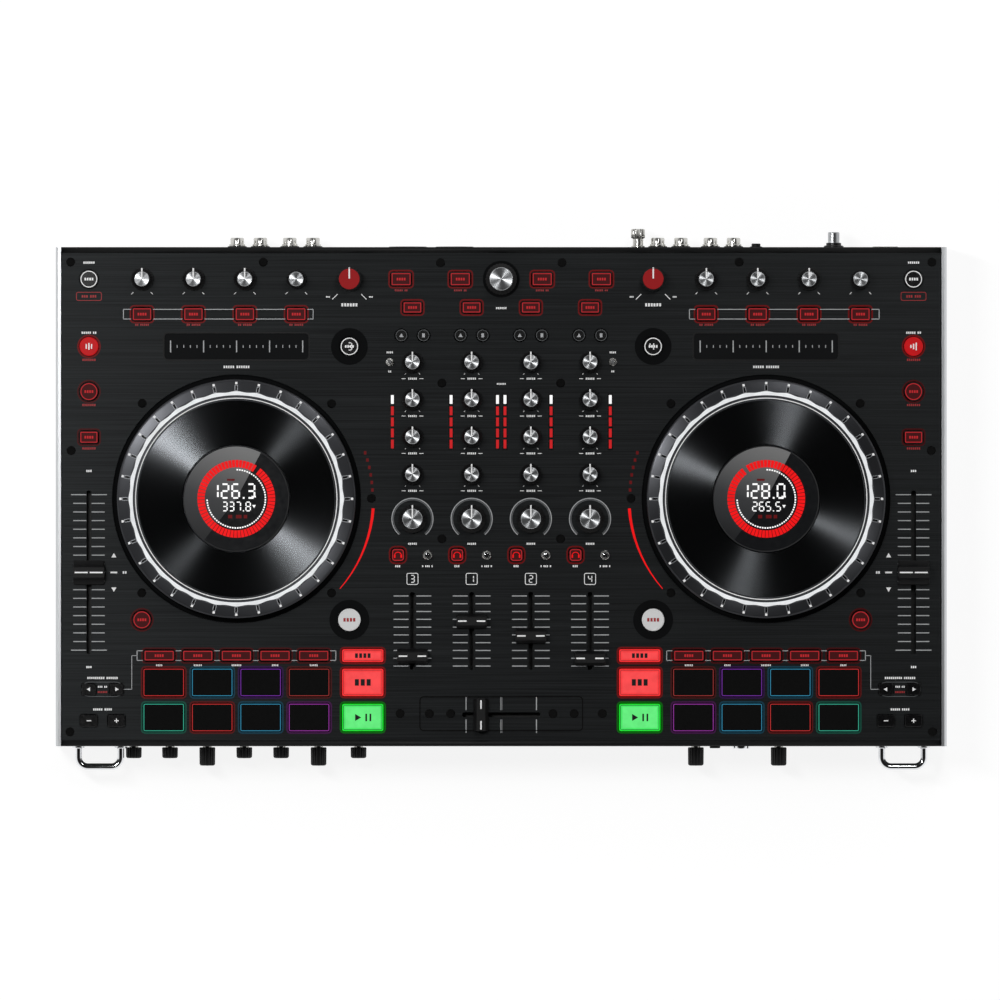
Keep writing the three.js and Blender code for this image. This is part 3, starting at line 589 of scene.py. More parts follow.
class Shape:
    """A mesh in the making, in panel millimetres."""

    def __init__(self, middle: Point = (0.0, 0.0)) -> None:
        """Starts an empty mesh.

        Args:
            middle: Where its UV map is centred, and what turned parts and arcs stand about.
        """
        self.middle = middle
        self.points: list[Place] = []
        self.faces: list[tuple[int, ...]] = []
        self.slots: list[int] = []
        self.finishes: list[Finish] = []

    def add(
        self, points: Iterable[Sequence[float]], faces: Iterable[Sequence[int]], finish: Finish
    ) -> None:
        """Adds points and the faces between them.

        Args:
            points: Their places.
            faces: Each a row of indices into points.
            finish: What the faces are made of.
        """
        first = len(self.points)
        self.points += [tuple(point) for point in points]
        if finish not in self.finishes:
            self.finishes.append(finish)
        for face in faces:
            self.faces.append(tuple(first + i for i in face))
            self.slots.append(self.finishes.index(finish))

    def join(self, other: "Shape", transform: Matrix | None = None) -> None:
        """Adds another shape's faces, each in its own finish.

        Args:
            other: The other shape.
            transform: Turns or moves it first.
        """
        points = other.points
        if transform:
            points = [tuple(transform @ Vector(point)) for point in points]
        self.add(points, (), other.finishes[0])
        first = len(self.points) - len(points)
        for face, slot in zip(other.faces, other.slots):
            finish = other.finishes[slot]
            if finish not in self.finishes:
                self.finishes.append(finish)
            self.faces.append(tuple(first + i for i in face))
            self.slots.append(self.finishes.index(finish))

    def loft(self, rings: Sequence[Ring], finishes: Sequence[Finish], closed: bool = False) -> None:
        """Joins rings of equally many points.

        Args:
            rings: From the bottom outside, up and inwards.
            finishes: One for each band that follows a ring.
            closed: Joins the last ring to the first; otherwise both ends get a cap.
        """
        size = len(rings[0])
        bands = list(zip(rings, rings[1:], finishes))
        if closed:
            bands.append((rings[-1], rings[0], finishes[-1]))
        quads = [(i, (i + 1) % size, size + (i + 1) % size, size + i) for i in range(size)]
        for low, high, finish in bands:
            self.add(low + high, quads, finish)
        if not closed:
            self.add(rings[0], [tuple(reversed(range(size)))], finishes[0])
            self.add(rings[-1], [tuple(range(size))], finishes[-1])

    def tower(self, outline: Outline, steps: Sequence[tuple], finish: Finish) -> None:
        """A capped body whose outline is inset at each height.

        Args:
            outline: What is inset.
            steps: Each (inset, z), or (inset, z, finish) where the band below has its own.
            finish: For the other bands.
        """
        rings = [outline.ring(step[0], step[1]) for step in steps]
        self.loft(rings, [step[2] if len(step) > 2 else finish for step in steps[1:]])

    def frame(
        self, outline: Outline, width: float, low: float, high: float, finish: Finish
    ) -> None:
        """A flat frame of that width, inside an outline."""
        steps = ((0.0, low), (0.0, high), (width, high), (width, low))
        self.loft([outline.ring(*step) for step in steps], [finish] * 4, closed=True)

    def turned(
        self,
        profile: Sequence[Point],
        finish: Finish,
        sides: int = 48,
        flutes: int = 0,
        depth: float = 0.0,
    ) -> None:
        """A turned body on the shape's middle.

        Args:
            profile: Each (radius, z), upwards.
            finish: What it is made of.
            sides: How many there are round it.
            flutes: How many are cut into it.
            depth: How deep the flutes are.
        """
        largest = max(radius for radius, _ in profile)
        outline = Outline.circle(*self.middle, largest, sides, flutes, depth)
        self.tower(outline, [(largest - radius, z) for radius, z in profile], finish)

    def ringed(self, profile: Sequence[Point], finish: Finish, sides: int) -> None:
        """A turned ring on the shape's middle, from a closed profile, outside first and upwards."""
        rings = [Outline.circle(*self.middle, radius, sides).ring(0, z) for radius, z in profile]
        self.loft(rings, [finish] * len(rings), closed=True)

    def bar(
        self, start: Point, end: Point, width: float, low: float, high: float, finish: Finish
    ) -> None:
        """A straight bar of that width from start to end, between two heights.

        Args:
            start: Where it starts.
            end: Where it ends.
            width: How wide it is.
            low: Its lower height.
            high: Its upper height.
            finish: What it is made of.
        """
        start, end = Vector(start), Vector(end)
        side = Vector((start.y - end.y, end.x - start.x)).normalized() * width / 2
        corners = [start - side, end - side, end + side, start + side]
        self.loft([[(*corner, z) for corner in corners] for z in (low, high)], [finish])

    def arc(
        self,
        radius: float,
        widths: Point,
        start: float,
        sweep: float,
        low: float,
        high: float,
        finish: Finish,
    ) -> None:
        """Part of a flat ring about the shape's middle.

        Args:
            radius: Of its centre line.
            widths: At its start and at its end.
            start: Its first angle, in degrees.
            sweep: How far it runs, in degrees; clockwise where that is negative.
            low: Its lower height.
            high: Its upper height.
            finish: What it is made of.
        """
        count = max(2, int(abs(sweep) / 4))
        points: list[Point] = []
        for side in (1, -1):
            for i in range(count + 1)[::side]:
                share = i / count
                reach = radius + side * (widths[0] + (widths[1] - widths[0]) * share) / 2
                points.append(polar(self.middle, reach, math.radians(start + sweep * share)))
        # A strip of quads between the outer and the inner edge, above and below, with walls.
        total = len(points)
        stacked = [(*point, z) for z in (low, high) for point in points]
        faces = []
        for i in range(count):
            j = total - 1 - i
            faces.append((total + i, total + i + 1, total + j - 1, total + j))
            faces.append((j, j - 1, i + 1, i))
        faces += [(i, (i + 1) % total, total + (i + 1) % total, total + i) for i in range(total)]
        if sweep < 0:
            faces = [tuple(reversed(face)) for face in faces]
        self.add(stacked, faces, finish)

    def make(self, name: str, transform: Matrix | None = None) -> Piece:
        """The finished object, at the origin, with its place in its mesh.

        Args:
            name: The piece's name.
            transform: Turns or moves the shape in panel millimetres first.

        Returns:
            The object, in the scene.
        """
        mesh = bpy.data.meshes.new(name)
        points = [Vector(point) for point in self.points]
        up = UP
        if transform:
            points = [transform @ point for point in points]
            up = (transform.to_3x3() @ up).normalized()
        mesh.from_pydata([to_world(*point) for point in points], [], self.faces)
        for finish in self.finishes:
            mesh.materials.append(finish.material())
        mesh.polygons.foreach_set("material_index", self.slots)
        lay_uvs(mesh, [(x - self.middle[0], y - self.middle[1]) for x, y, _ in self.points])
        return finish_mesh(mesh, name, up)


def lay_uvs(mesh: bpy.types.Mesh, places: Sequence[Point]) -> None:
    """Gives a mesh its UV map, seen from above.

    Args:
        mesh: The mesh.
        places: Each vertex's place from the map's middle, in millimetres.
    """
    layer = mesh.uv_layers.new(name="local")
    for loop in mesh.loops:
        x, y = places[loop.vertex_index]
        layer.data[loop.index].uv = (0.5 + x / UV_SPAN, 0.5 + y / UV_SPAN)


def finish_mesh(mesh: bpy.types.Mesh, name: str, up: Vector = UP) -> Piece:
    """Merges a mesh's doubled points, shades it and links it as an object.

    Args:
        mesh: The mesh, in metres in the frame.
        name: The object's name.
        up: The direction that the piece's wide flat faces look in. They are shaded flat.

    Returns:
        The object, in the scene.
    """
    cleaned = bmesh.new()
    cleaned.from_mesh(mesh)
    bmesh.ops.remove_doubles(cleaned, verts=cleaned.verts, dist=1e-6)
    cleaned.to_mesh(mesh)
    cleaned.free()
    mesh.shade_smooth()
    mesh.set_sharp_from_angle(angle=math.radians(35))
    for polygon in mesh.polygons:
        polygon.use_smooth = abs(polygon.normal.dot(up)) < 0.9999
    made = bpy.data.objects.new(name, mesh)
    bpy.context.collection.objects.link(made)
    return made


def evaluated_mesh(carrier: Piece) -> bpy.types.Mesh:
    """Turns an object into a plain mesh, as its curve or modifiers make it, and removes the object.

    Args:
        carrier: The object.

    Returns:
        The mesh.
    """
    bpy.context.collection.objects.link(carrier)
    graph = bpy.context.evaluated_depsgraph_get()
    mesh = bpy.data.meshes.new_from_object(carrier.evaluated_get(graph), depsgraph=graph)
    bpy.data.objects.remove(carrier)
    return mesh


def install(piece: Piece, body: str, slot: str, *replaced: str) -> None:
    """Lets a finished piece ride on its body.

    Args:
        piece: The piece.
        body: The body that it moves with.
        slot: The record's material slot; not used.
        replaced: The CAD nodes that it stands for.
    """
    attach(piece, body)
    if replaced:
        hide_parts(*replaced)
    LOG.info("%s on %s: %d faces", piece.name, body, len(piece.data.polygons))


# ---- What repeats, by Geometry Nodes ----


@dataclass
class Repeater:
    """A Geometry Nodes tree that puts one block or head at each of many places."""

    name: str
    finish: Finish
    tree: Tree = field(init=False)
    sockets: dict[str, str] = field(init=False, default_factory=dict)

    def __post_init__(self) -> None:
        """Starts the tree with its geometry in and out."""
        self.tree = bpy.data.node_groups.new(self.name, "GeometryNodeTree")
        for way in ("INPUT", "OUTPUT"):
            self.tree.interface.new_socket("Geometry", in_out=way, socket_type="NodeSocketGeometry")
        self.start = add_node(self.tree, "NodeGroupInput")
        self.end = add_node(self.tree, "NodeGroupOutput")

    def wanted(self, **kinds: str) -> None:
        """Adds inputs.

        Args:
            kinds: For each input's name, the end of its socket type's name.
        """
        for name, kind in kinds.items():
            socket_type = f"NodeSocket{kind}"
            made = self.tree.interface.new_socket(name, in_out="INPUT", socket_type=socket_type)
            self.sockets[name] = made.identifier

    def given(self, name: str) -> Socket:
        """The socket inside the tree of a named input."""
        return self.start.outputs[name]

    def node(self, kind: str, links: dict | None = None, **settings: str) -> Socket:
        """The first output of a new node."""
        return add_node(self.tree, kind, links, **settings).outputs[0]

    def math(self, operation: str, *values: Socket | float) -> Socket:
        """The result of an operation on one or two values."""
        return self.node("ShaderNodeMath", dict(enumerate(values)), operation=operation)

    def close(self, points: Socket, instance: Socket, **links: Socket) -> None:
        """Ends the tree with real copies of the instance, in the finish's material.

        Args:
            points: Where the copies stand.
            instance: What stands there.
            links: Further inputs of the node that places them.
        """
        links = {"Points": points, "Instance": instance, **links}
        real = self.node(
            "GeometryNodeRealizeInstances", {0: self.node("GeometryNodeInstanceOnPoints", links)}
        )
        links = {"Geometry": real, "Material": self.finish.material()}
        self.tree.links.new(self.node("GeometryNodeSetMaterial", links), self.end.inputs[0])

    def bake(
        self, name: str, places: Sequence[Point] = (), **values: float | Sequence[float]
    ) -> Piece:
        """Runs the tree and keeps its result as a plain object in the frame.

        Args:
            name: The new piece's name.
            places: Points on the panel, for a tree that reads its input geometry.
            values: The named inputs' values.

        Returns:
            The piece, in the scene.
        """
        seed = bpy.data.meshes.new(name)
        seed.from_pydata([(x, y, 0) for x, y in places], [], [])
        carrier = bpy.data.objects.new(f"{name}_carrier", seed)
        modifier = carrier.modifiers.new(self.name, "NODES")
        modifier.node_group = self.tree
        for key, value in values.items():
            modifier[self.sockets[key]] = value
        mesh = evaluated_mesh(carrier)
        mesh.transform(Matrix.Translation(PANEL_ORIGIN) @ Matrix.Scale(MM, 4))
        mesh.name = name
        return finish_mesh(mesh, name)


def row_repeater(finish: Finish) -> Repeater:
    """Blocks in a straight row: Count of them, each Size, from Start on by Step.

    Args:
        finish: What they are made of.

    Returns:
        The repeater, ready to bake.
    """
    made = Repeater(f"row of blocks in {finish.name}", finish)
    made.wanted(Count="Int", Start="Vector", Step="Vector", Size="Vector")
    inputs = (("Count", "Count"), ("Start Location", "Start"), ("Offset", "Step"))
    line = made.node("GeometryNodeMeshLine", {name: made.given(own) for name, own in inputs})
    made.close(line, made.node("GeometryNodeMeshCube", {"Size": made.given("Size")}))
    return made


def ring_repeater(finish: Finish) -> Repeater:
    """Blocks round a circle: Count of them, each Size, at Radius about Centre and Angle apart.

    Args:
        finish: What they are made of.

    Returns:
        The repeater, ready to bake.
    """
    made = Repeater(f"ring of blocks in {finish.name}", finish)
    made.wanted(Count="Int", Radius="Float", Angle="Float", Centre="Vector", Size="Vector")
    angle = made.math("MULTIPLY", made.node("GeometryNodeInputIndex"), made.given("Angle"))
    across, along = (
        made.math("MULTIPLY", made.math(operation, angle), made.given("Radius"))
        for operation in ("COSINE", "SINE")
    )
    place = made.node("ShaderNodeCombineXYZ", {"X": across, "Y": along})
    links = {0: place, 1: made.given("Centre")}
    moved = made.node("ShaderNodeVectorMath", links, operation="ADD")
    points = made.node("GeometryNodePoints", {"Count": made.given("Count"), "Position": moved})
    turn = made.node("ShaderNodeCombineXYZ", {"Z": angle})
    rotation = made.node("FunctionNodeEulerToRotation", {0: turn})
    block = made.node("GeometryNodeMeshCube", {"Size": made.given("Size")})
    made.close(points, block, Rotation=rotation)
    return made


def screw_repeater(finish: Finish) -> Repeater:
    """Cross-head screws on the input's points: Radius and Height of the head, Slot of its cross.

    Args:
        finish: What they are made of.

    Returns:
        The repeater, ready to bake.
    """
    made = Repeater(f"screws in {finish.name}", finish)
    made.wanted(Radius="Float", Height="Float", Slot="Float")
    radius, height = made.given("Radius"), made.given("Height")
    cone = {"Vertices": 24, "Radius Bottom": radius, "Depth": height}
    cone["Radius Top"] = made.math("MULTIPLY", radius, 0.78)
    head = made.node("GeometryNodeMeshCone", cone)
    reach = made.math("MULTIPLY", radius, 1.1)
    up = made.node("ShaderNodeCombineXYZ", {"Z": height})
    cross = add_node(made.tree, "GeometryNodeJoinGeometry")
    for sides in (("X", "Y"), ("Y", "X")):
        links = {sides[0]: reach, sides[1]: made.given("Slot"), "Z": height}
        blade = made.node(
            "GeometryNodeMeshCube", {"Size": made.node("ShaderNodeCombineXYZ", links)}
        )
        raised = made.node("GeometryNodeTransform", {"Geometry": blade, "Translation": up})
        made.tree.links.new(raised, cross.inputs[0])
    links = {"Mesh 1": head, "Mesh 2": cross.outputs[0]}
    cut = made.node("GeometryNodeMeshBoolean", links, operation="DIFFERENCE")
    made.close(made.given("Geometry"), cut)
    return made


def merged(name: str, pieces: Sequence[Piece]) -> Piece:
    """Joins plain objects at the origin into one.

    Args:
        name: The name of the one.
        pieces: The objects, which are removed.

    Returns:
        The joined object, in the scene.
    """
    whole = bmesh.new()
    materials: list[bpy.types.Material] = []
    for piece in pieces:
        offset = len(whole.faces)
        whole.from_mesh(piece.data)
        whole.faces.ensure_lookup_table()
        for face in whole.faces[offset:]:
            material = piece.data.materials[face.material_index]
            if material not in materials:
                materials.append(material)
            face.material_index = materials.index(material)
        bpy.data.objects.remove(piece)
    mesh = bpy.data.meshes.new(name)
    whole.to_mesh(mesh)
    whole.free()
    for material in materials:
        mesh.materials.append(material)
    return finish_mesh(mesh, name)


# ---- Places ----


class Side(Enum):
    """The two decks; the value is the sign of x there."""

    LEFT = -1
    RIGHT = 1

    @property
    def word(self) -> str:
        """left or right, as node names begin."""
        return self.name.lower()


@dataclass(frozen=True)
class Plan:
    """Rows (y) and columns (distance from the middle line) of the controls."""

    top_row: float = 139.65
    effect_row: float = 117.15
    load_row: float = 121.45
    assign_row: float = 103.55
    deck_row: float = 96.45
    skip_row: float = 67.45
    key_row: float = 38.15
    cue_row: float = -37.45
    number_row: float = -51.4
    shift_row: float = -79.05
    mode_row: float = -102.05
    pad_rows: tuple[float, float] = (-119.25, -141.75)
    parameter_row: float = -123.65
    cross_row: float = -140.05
    bend_row: float = -143.85
    jog_row: float = -1.4
    pitch_row: float = -48.65
    channel_row: float = -86.25
    side_column: float = 264.7
    bend_column: float = 247.0
    censor_column: float = 230.7
    jog_column: float = 170.0
    deck_column: float = 97.5
    transport_column: float = 88.9
    effect_columns: tuple[float, ...] = (230.6, 197.6, 164.6, 131.6)
    pad_columns: tuple[float, ...] = (216.65, 185.55, 154.45, 123.35)
    mode_columns: tuple[float, ...] = (219.6, 194.8, 170.0, 145.2, 120.4)
    channel_columns: tuple[float, ...] = (-57.0, -19.0, 19.0, 57.0)
    meters: tuple[float, ...] = (-69.9, -32.2, -2.4, 2.4, 32.0, 70.0)


PLAN = Plan()
TOGGLE_COLUMN, TOGGLE_ROW = 71.6, 86.4  # of the source toggles
SCREW_ROW = -139.3  # of the crossfader's plate and its screws
BUTTON_TOP = 1.6
PAD_TOP = 2.2
GAP = 0.4  # round a cap in its cut-out


class Style(Enum):
    """How a cap is built and lit."""

    RINGED = auto()
    FRAMED = auto()
    ROUND = auto()
    LIT = auto()
    LIT_ROUND = auto()
    WHITE = auto()
    PLAIN = auto()
    SMALL = auto()
    PAD = auto()


LIT_STYLES = (Style.FRAMED, Style.ROUND, Style.LIT, Style.LIT_ROUND, Style.PAD)


class Mark(Enum):
    """What is printed on a cap."""

    NONE = auto()
    WORD = auto()
    TOUCH = auto()
    FILTER = auto()
    SYNC = auto()
    CUE = auto()
    PLAY = auto()
    LEFT = auto()
    RIGHT = auto()
    MINUS = auto()
    PLUS = auto()
    HEADPHONES = auto()


@dataclass(frozen=True)
class Cap:
    """One button cap: its outline and how it is dressed."""

    outline: Outline
    style: Style
    glow: Finish = GLOW_DIM_RED
    mark: Mark = Mark.NONE


def deck_caps(side: Side) -> list[Cap]:
    """The button and pad caps of one deck.

    Args:
        side: The deck.

    Returns:
        The caps.
    """
    sign = side.value
    caps = []

    def place(
        column: float,
        row: float,
        style: Style,
        size: Point | float,
        glow: Finish,
        mark: Mark = Mark.NONE,
    ) -> None:
        """Adds a cap at a column and row of this deck; size is a radius or a width and height.

        Args:
            column: How far it is from the middle line.
            row: The y of its middle.
            style: How it is built.
            size: A radius, or a width and a height.
            glow: The light in it.
            mark: What is printed on it.
        """
        if isinstance(size, tuple):
            outline = Outline(sign * column, row, *size, min(1.3, size[1] / 5))
        else:
            outline = Outline.circle(sign * column, row, size)
        caps.append(Cap(outline, style, glow, mark))

    place(PLAN.side_column, PLAN.top_row, Style.RINGED, 5.9, GLOW_WHITE, Mark.WORD)
    place(
        PLAN.side_column,
        PLAN.deck_row,
        Style.LIT_ROUND,
        6.1,
        GLOW_RED,
        Mark.TOUCH if sign < 0 else Mark.FILTER,
    )
    place(PLAN.side_column, PLAN.skip_row, Style.ROUND, 6.1, GLOW_DIM_RED, Mark.WORD)
    place(PLAN.side_column, PLAN.key_row, Style.FRAMED, (12.3, 8.3), GLOW_DIM_RED, Mark.WORD)
    place(PLAN.deck_column, PLAN.deck_row, Style.RINGED, 6.1, GLOW_WHITE, Mark.WORD)
    place(PLAN.deck_column, PLAN.shift_row, Style.WHITE, 7.2, GLOW_RED, Mark.WORD)
    place(PLAN.censor_column, PLAN.shift_row, Style.ROUND, 6.1, GLOW_DIM_RED, Mark.WORD)
    place(PLAN.transport_column, PLAN.mode_row, Style.LIT, (26.6, 8.3), LIT_RED, Mark.SYNC)
    place(PLAN.transport_column, PLAN.pad_rows[0], Style.LIT, (26.6, 17.6), LIT_RED, Mark.CUE)
    place(PLAN.transport_column, PLAN.pad_rows[1], Style.LIT, (26.6, 17.6), LIT_GREEN, Mark.PLAY)
    for column in PLAN.effect_columns:
        place(column, PLAN.effect_row, Style.FRAMED, (13.0, 8.8), GLOW_RED, Mark.WORD)
    for column in PLAN.mode_columns:
        place(column, PLAN.mode_row, Style.FRAMED, (20.0, 7.4), GLOW_DIM_RED, Mark.WORD)
    colours = (
        (PadColour.RED, PadColour.BLUE, PadColour.VIOLET, PadColour.DARK_RED),
        (PadColour.TEAL, PadColour.RED, PadColour.BLUE, PadColour.MAGENTA),
    )
    for row, shades in zip(PLAN.pad_rows, colours):
        for column, shade in zip(PLAN.pad_columns, shades):
            place(column, row, Style.PAD, (26.4, 18.0), shade.value)
    for column, mark in ((PLAN.side_column, Mark.LEFT), (PLAN.bend_column, Mark.RIGHT)):
        arrow = mark if sign < 0 else {Mark.LEFT: Mark.RIGHT, Mark.RIGHT: Mark.LEFT}[mark]
        place(column, PLAN.parameter_row, Style.PLAIN, (9.0, 7.4), GLOW_WHITE, arrow)
        bend = {Mark.LEFT: Mark.MINUS, Mark.RIGHT: Mark.PLUS}[arrow]
        place(column, PLAN.bend_row, Style.PLAIN, (11.0, 7.8), GLOW_WHITE, bend)
    return caps


def mixer_caps() -> list[Cap]:
    """The button caps of the mixer.

    Returns:
        The caps.
    """
    caps = []
    for x in PLAN.channel_columns:
        outward = math.copysign(7.3, x)
        caps.append(
            Cap(
                Outline(x + outward, PLAN.top_row, 13.5, 9.0, 1.2),
                Style.FRAMED,
                GLOW_RED,
                Mark.WORD,
            )
        )
        caps.append(
            Cap(Outline(x, PLAN.load_row, 12.6, 7.8, 1.2), Style.FRAMED, GLOW_RED, Mark.WORD)
        )
        caps.append(
            Cap(
                Outline(x - 9.3, PLAN.cue_row, 8.8, 8.8, 2.4),
                Style.FRAMED,
                GLOW_RED,
                Mark.HEADPHONES,
            )
        )
        for offset in (-7.1, 7.1):
            caps.append(
                Cap(
                    Outline.circle(x + offset, PLAN.assign_row, 4.0, 24),
                    Style.SMALL,
                    GLOW_WHITE,
                    Mark.WORD,
                )
            )
    return caps


# ---- Marks ----


def word(
    shape: Shape,
    x: float,
    y: float,
    lengths: Sequence[int],
    height: float,
    z: float,
    finish: Finish,
) -> None:
    """A generic label: a row of small blocks in place of letters, centred on (x, y).

    Args:
        shape: The shape that it is added to.
        x: The x of its middle.
        y: The y of its middle.
        lengths: How many blocks each word has.
        height: The height of its letters.
        z: The height that it lies on.
        finish: What it is made of.
    """
    wide, gap, space = height * 0.62, height * 0.28, height * 0.7
    total = sum(lengths) * (wide + gap) + (len(lengths) - 1) * space - gap
    at = x - total / 2
    for length in lengths:
        for _ in range(length):
            shape.bar((at, y), (at + wide, y), height, z, z + INK_THICKNESS, finish)
            at += wide + gap
        at += space


def triangle(
    shape: Shape, x: float, y: float, size: float, angle: float, z: float, finish: Finish
) -> None:
    """An arrowhead that points at angle degrees.

    Args:
        shape: The shape that it is added to.
        x: The x of its middle.
        y: The y of its middle.
        size: How far its corners are from its middle.
        angle: Where it points, in degrees.
        z: The height that it lies on.
        finish: What it is made of.
    """
    corners = [polar((x, y), size, math.radians(angle) + TURN * i / 3) for i in range(3)]
    levels = (z, z + INK_THICKNESS)
    shape.loft([[(*corner, level) for corner in corners] for level in levels], [finish])


SEGMENTS = {
    "0": "abcdef",
    "1": "bc",
    "2": "abged",
    "3": "abgcd",
    "4": "fgbc",
    "5": "afgcd",
    "6": "afgecd",
    "7": "abc",
    "8": "abcdefg",
    "9": "abfgcd",
}


def digits(
    shape: Shape, text: str, x: float, y: float, height: float, z: float, finish: Finish
) -> None:
    """Seven-segment digits, centred on (x, y); a full stop is a small square.

    Args:
        shape: The shape that it is added to.
        text: The digits.
        x: The x of its middle.
        y: The y of its middle.
        height: The height of its letters.
        z: The height that it lies on.
        finish: What it is made of.
    """
    wide, stroke = height * 0.5, height * 0.13
    pitch = wide + stroke * 2.1
    total = sum(pitch * (0.45 if letter == "." else 1) for letter in text)
    at = x - total / 2 + stroke
    for letter in text:
        if letter == ".":
            shape.bar(
                (at, y - height / 2),
                (at + stroke, y - height / 2),
                stroke,
                z,
                z + INK_THICKNESS,
                finish,
            )
            at += pitch * 0.45
            continue
        half, left, right = height / 2, at, at + wide
        ends = {
            "a": ((left, y + half), (right, y + half)),
            "g": ((left, y), (right, y)),
            "d": ((left, y - half), (right, y - half)),
            "f": ((left, y + half), (left, y)),
            "e": ((left, y), (left, y - half)),
            "b": ((right, y + half), (right, y)),
            "c": ((right, y), (right, y - half)),
        }
        for name in SEGMENTS[letter]:
            start, end = (Vector(point) for point in ends[name])
            trim = (end - start).normalized() * stroke * 0.5
            shape.bar(start + trim, end - trim, stroke, z, z + INK_THICKNESS, finish)
        at += pitch


# ---- Sub-assemblies ----


